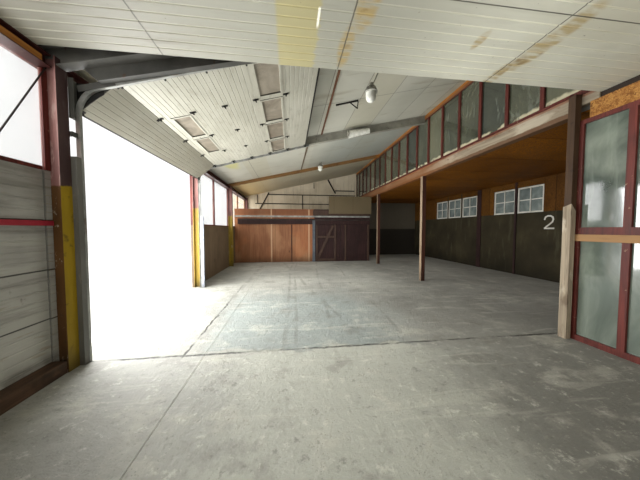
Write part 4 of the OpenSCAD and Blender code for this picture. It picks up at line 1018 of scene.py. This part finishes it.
def roof_trim():
    """Battens and a stay under the roof, and the screws on top of it."""
    near_paint = timber("batten_wood", "#573a29", "#85604a").done()
    for name, slot, paint, x0, x1, y0, y1 in (
            ("roof_batten_near", "red_timber", near_paint, 3.455, 3.545, DOOR_NEAR + 0.06, DOOR_FAR - 0.06),
            ("roof_batten_far", "dark_board", None, 3.213, 3.129, DOOR_FAR + 0.06, TIMBER - 0.05)):
        batten = Piece(name, slot, paint)
        ends = ((x, y, roof(x) - BATTEN_THICK / 2) for x, y in ((x0, y0), (x1, y1)))
        batten.bar(*ends, BATTEN_WIDE, BATTEN_THICK, (1, 0, ROOF_RISE))
        batten.made()
    stay = Piece("roof_stay", "black_steel")
    left, right, inner = ((x, y, roof(x) - 0.014) for x, y in ((3.653, 9.895), (4.144, 9.852), (3.96, 9.868)))
    foot = (4.13, 9.85, roof(4.144) - 0.19)
    stay.bar(left, right, 0.034, 0.026)
    stay.bar(right, foot, 0.02, 0.016)
    stay.bar(inner, foot, 0.02, 0.016)
    for x, y in ((3.70, 9.891), (4.09, 9.857)):
        stay.turned((x, y, roof(x) - 0.027), (0, 0, -1), ((0.012, 0), (0.012, 0.006), (0.007, 0.009)))
    stay.made(0.0)
    screws = Piece("roof_screws", "galvanised")
    purlins = [FRAMES[0] + 0.05, *((a + b) / 2 for a, b in zip(FRAMES, FRAMES[1:])), *FRAMES[1:-1],
               FRAMES[-1] - 0.05]
    for y in purlins:
        for x in (SCREW_START + k * SCREW_PITCH for k in range(SCREWS)):
            screws.turned((x, y, roof(x) + ROOF_UP - 0.001), (-ROOF_RISE, 0, 1),
                          ((0.014, 0), (0.014, 0.003), (0.007, 0.004), (0.006, 0.009)), 6)
    screws.made(0.0)


def glazing_trim():
    """The sill under the high windows, and the worn sleeve round the end post's foot."""
    sill = Piece("high_window_sill", "red_timber")
    sill.block((BEAM_IN - 0.028, END_POST_Y1, BEAM_TOP), (GLAZE_IN, REAR_IN, BEAM_TOP + 0.028))
    sill.made(0.004)
    sleeve = Piece("post_sleeve", "post_timber", worn_wood())
    near, far = END_POST_Y0 - 0.022, END_POST_Y1 - 0.005
    for x0, x1, y1, tops in ((END_POST_IN - 0.024, END_POST_IN, far, (1.93, 1.97, 1.95, 1.90)),
                             (END_POST_IN, END_POST_IN + 0.058, END_POST_Y0, (1.95, 1.94, 1.86, 1.88))):
        outline = [(x0, y1), (x0, near), (x1, near), (x1, y1)]
        sleeve.solid([(x, y, 0.0) for x, y in outline], [(x, y, z) for (x, y), z in zip(outline, tops)])
    sleeve.made(0.003)


def annex_trim():
    """Boards, cover strips and a painted number on the annex wall's inner face."""
    face, top, gap = ANNEX_IN, ANNEX_CEILING - 0.001, 0.006
    boards = Piece("annex_lining", "annex_board", pressed_board("annex_lining", "#3f260c", "#7d5420"))
    ends = [(FRAMES[0], FRAMES[0]), *((y, y + ANNEX_WINDOW) for y in ANNEX_WINDOWS), (REAR_IN - 0.02, REAR_IN)]
    for (_, left), (right, _) in zip(ends, ends[1:]):
        if right - left > 0.2:
            boards.block((face - LINING, left + gap, ANNEX_SILL), (face, right - gap, top))
    for left, right in ends[1:-1]:
        boards.block((face - LINING, left - gap, ANNEX_HEAD + 0.005), (face, right + gap, top))
    boards.made()
    strips = Piece("annex_cover_strips", "dark_wood")
    for y0, y1 in ((12.165, 12.245), (13.76, 13.97)):
        strips.block((face - 0.034, y0, 0.0), (face - LINING, y1, top))
    strips.made(0.003)
    number = Piece("annex_number", "white_frame")
    places = [Vector((face - 0.0012, NUMBER_START - u * NUMBER_WIDE, NUMBER_FOOT + v * NUMBER_TALL))
              for u, v in NUMBER_PATH]
    for k, (start, end) in enumerate(zip(places, places[1:])):
        shift = Vector((-0.0001 * k, 0, 0))
        stretch = (end - start).normalized() * 0.012
        number.bar(start - stretch + shift, end + stretch + shift, 0.0018, 0.045, (1, 0, 0))
    number.made(0.0)


def partition_trim():
    """Rails, a dark band standing for painted shade under the rail, strips and the leaf's braces on the
    partition near the rear wall.
    """
    face = PARTITION_FACE
    brace_wood = timber("brace_wood", "#32251f", "#4d3b31", 2).done()
    blue_grey = plain_paint("blue_grey_paint", "#3c4146", "#565d63")
    for name, slot, paint, bevel, blocks in (
            # A dark board under the rail stands for painted shade; the narrow strip is a dark joint.
            ("partition_shade_band_and_joint", "dark_wood", None, 0.003,
             ((BAND_IN, BAND_END, 0.03, 0, 1.86, 2.13), (2.69, 2.725, 0.014, 0, 0.0, LEAF_TOP))),
            ("partition_upper_board", "dark_wood", brace_wood, 0.003,
             ((3.76, BAND_END, 0.028, 0, 2.29, 2.56),)),
            ("partition_lower_rail", "dark_rail", None, 0.003,
             ((BAND_IN, BAND_END, 0.05, 0.03, 2.05, 2.10),)),
            ("partition_post", "guard_paint", blue_grey, 0.004,
             ((PLYWOOD_END - 0.1, PLYWOOD_END + 0.03, 0.05, 0, 0.0, 2.05),))):
        piece = Piece(name, slot, paint)
        for x0, x1, out, back, z0, z1 in blocks:
            piece.block((x0, face - out, z0), (x1, face - back, z1))
        piece.made(bevel)
    braces = Piece("partition_braces", "dark_wood", brace_wood)
    braces.bar((4.766, face - 0.012, 1.80), (4.008, face - 0.012, 0.176), 0.024, 0.12)
    for foot, head in ((1.18, 1.28), (0.04, 0.15)):
        braces.block((3.92, face - 0.022, foot), (4.85, face, head))
    for x in (3.90, 4.83, 5.35, 6.54):
        braces.block((x, face - 0.026, 0.0), (x + 0.09, face, LEAF_TOP))
    braces.made(0.003)


def rear_wall_trim():
    """Braces, bars and studs on the rear wall over the partition."""
    bars = Piece("rear_wall_braces", "dark_rail")
    for x0, z0, x1, z1, depth in ((1.401, 3.793, 0.869, 2.813, 0.07),
                                  (4.941, roof(4.941) - 0.02, 5.408, 3.807, 0.08),
                                  (5.40, 3.97, 6.60, 3.97, 0.06),
                                  (0.733, 3.16, 0.733, 3.66, 0.035),
                                  (4.083, 4.08, 4.083, roof(4.083) - 0.02, 0.035)):
        bars.bar((x0, REAR_IN - 0.02, z0), (x1, REAR_IN - 0.02, z1), 0.04, depth)
    bars.made(0.003)


make_camera()
make_light()
make_stage()
slots = finishes()
dress_nodes()
low_wall_trim()
door_trim()
roof_trim()
glazing_trim()
annex_trim()
partition_trim()
rear_wall_trim()
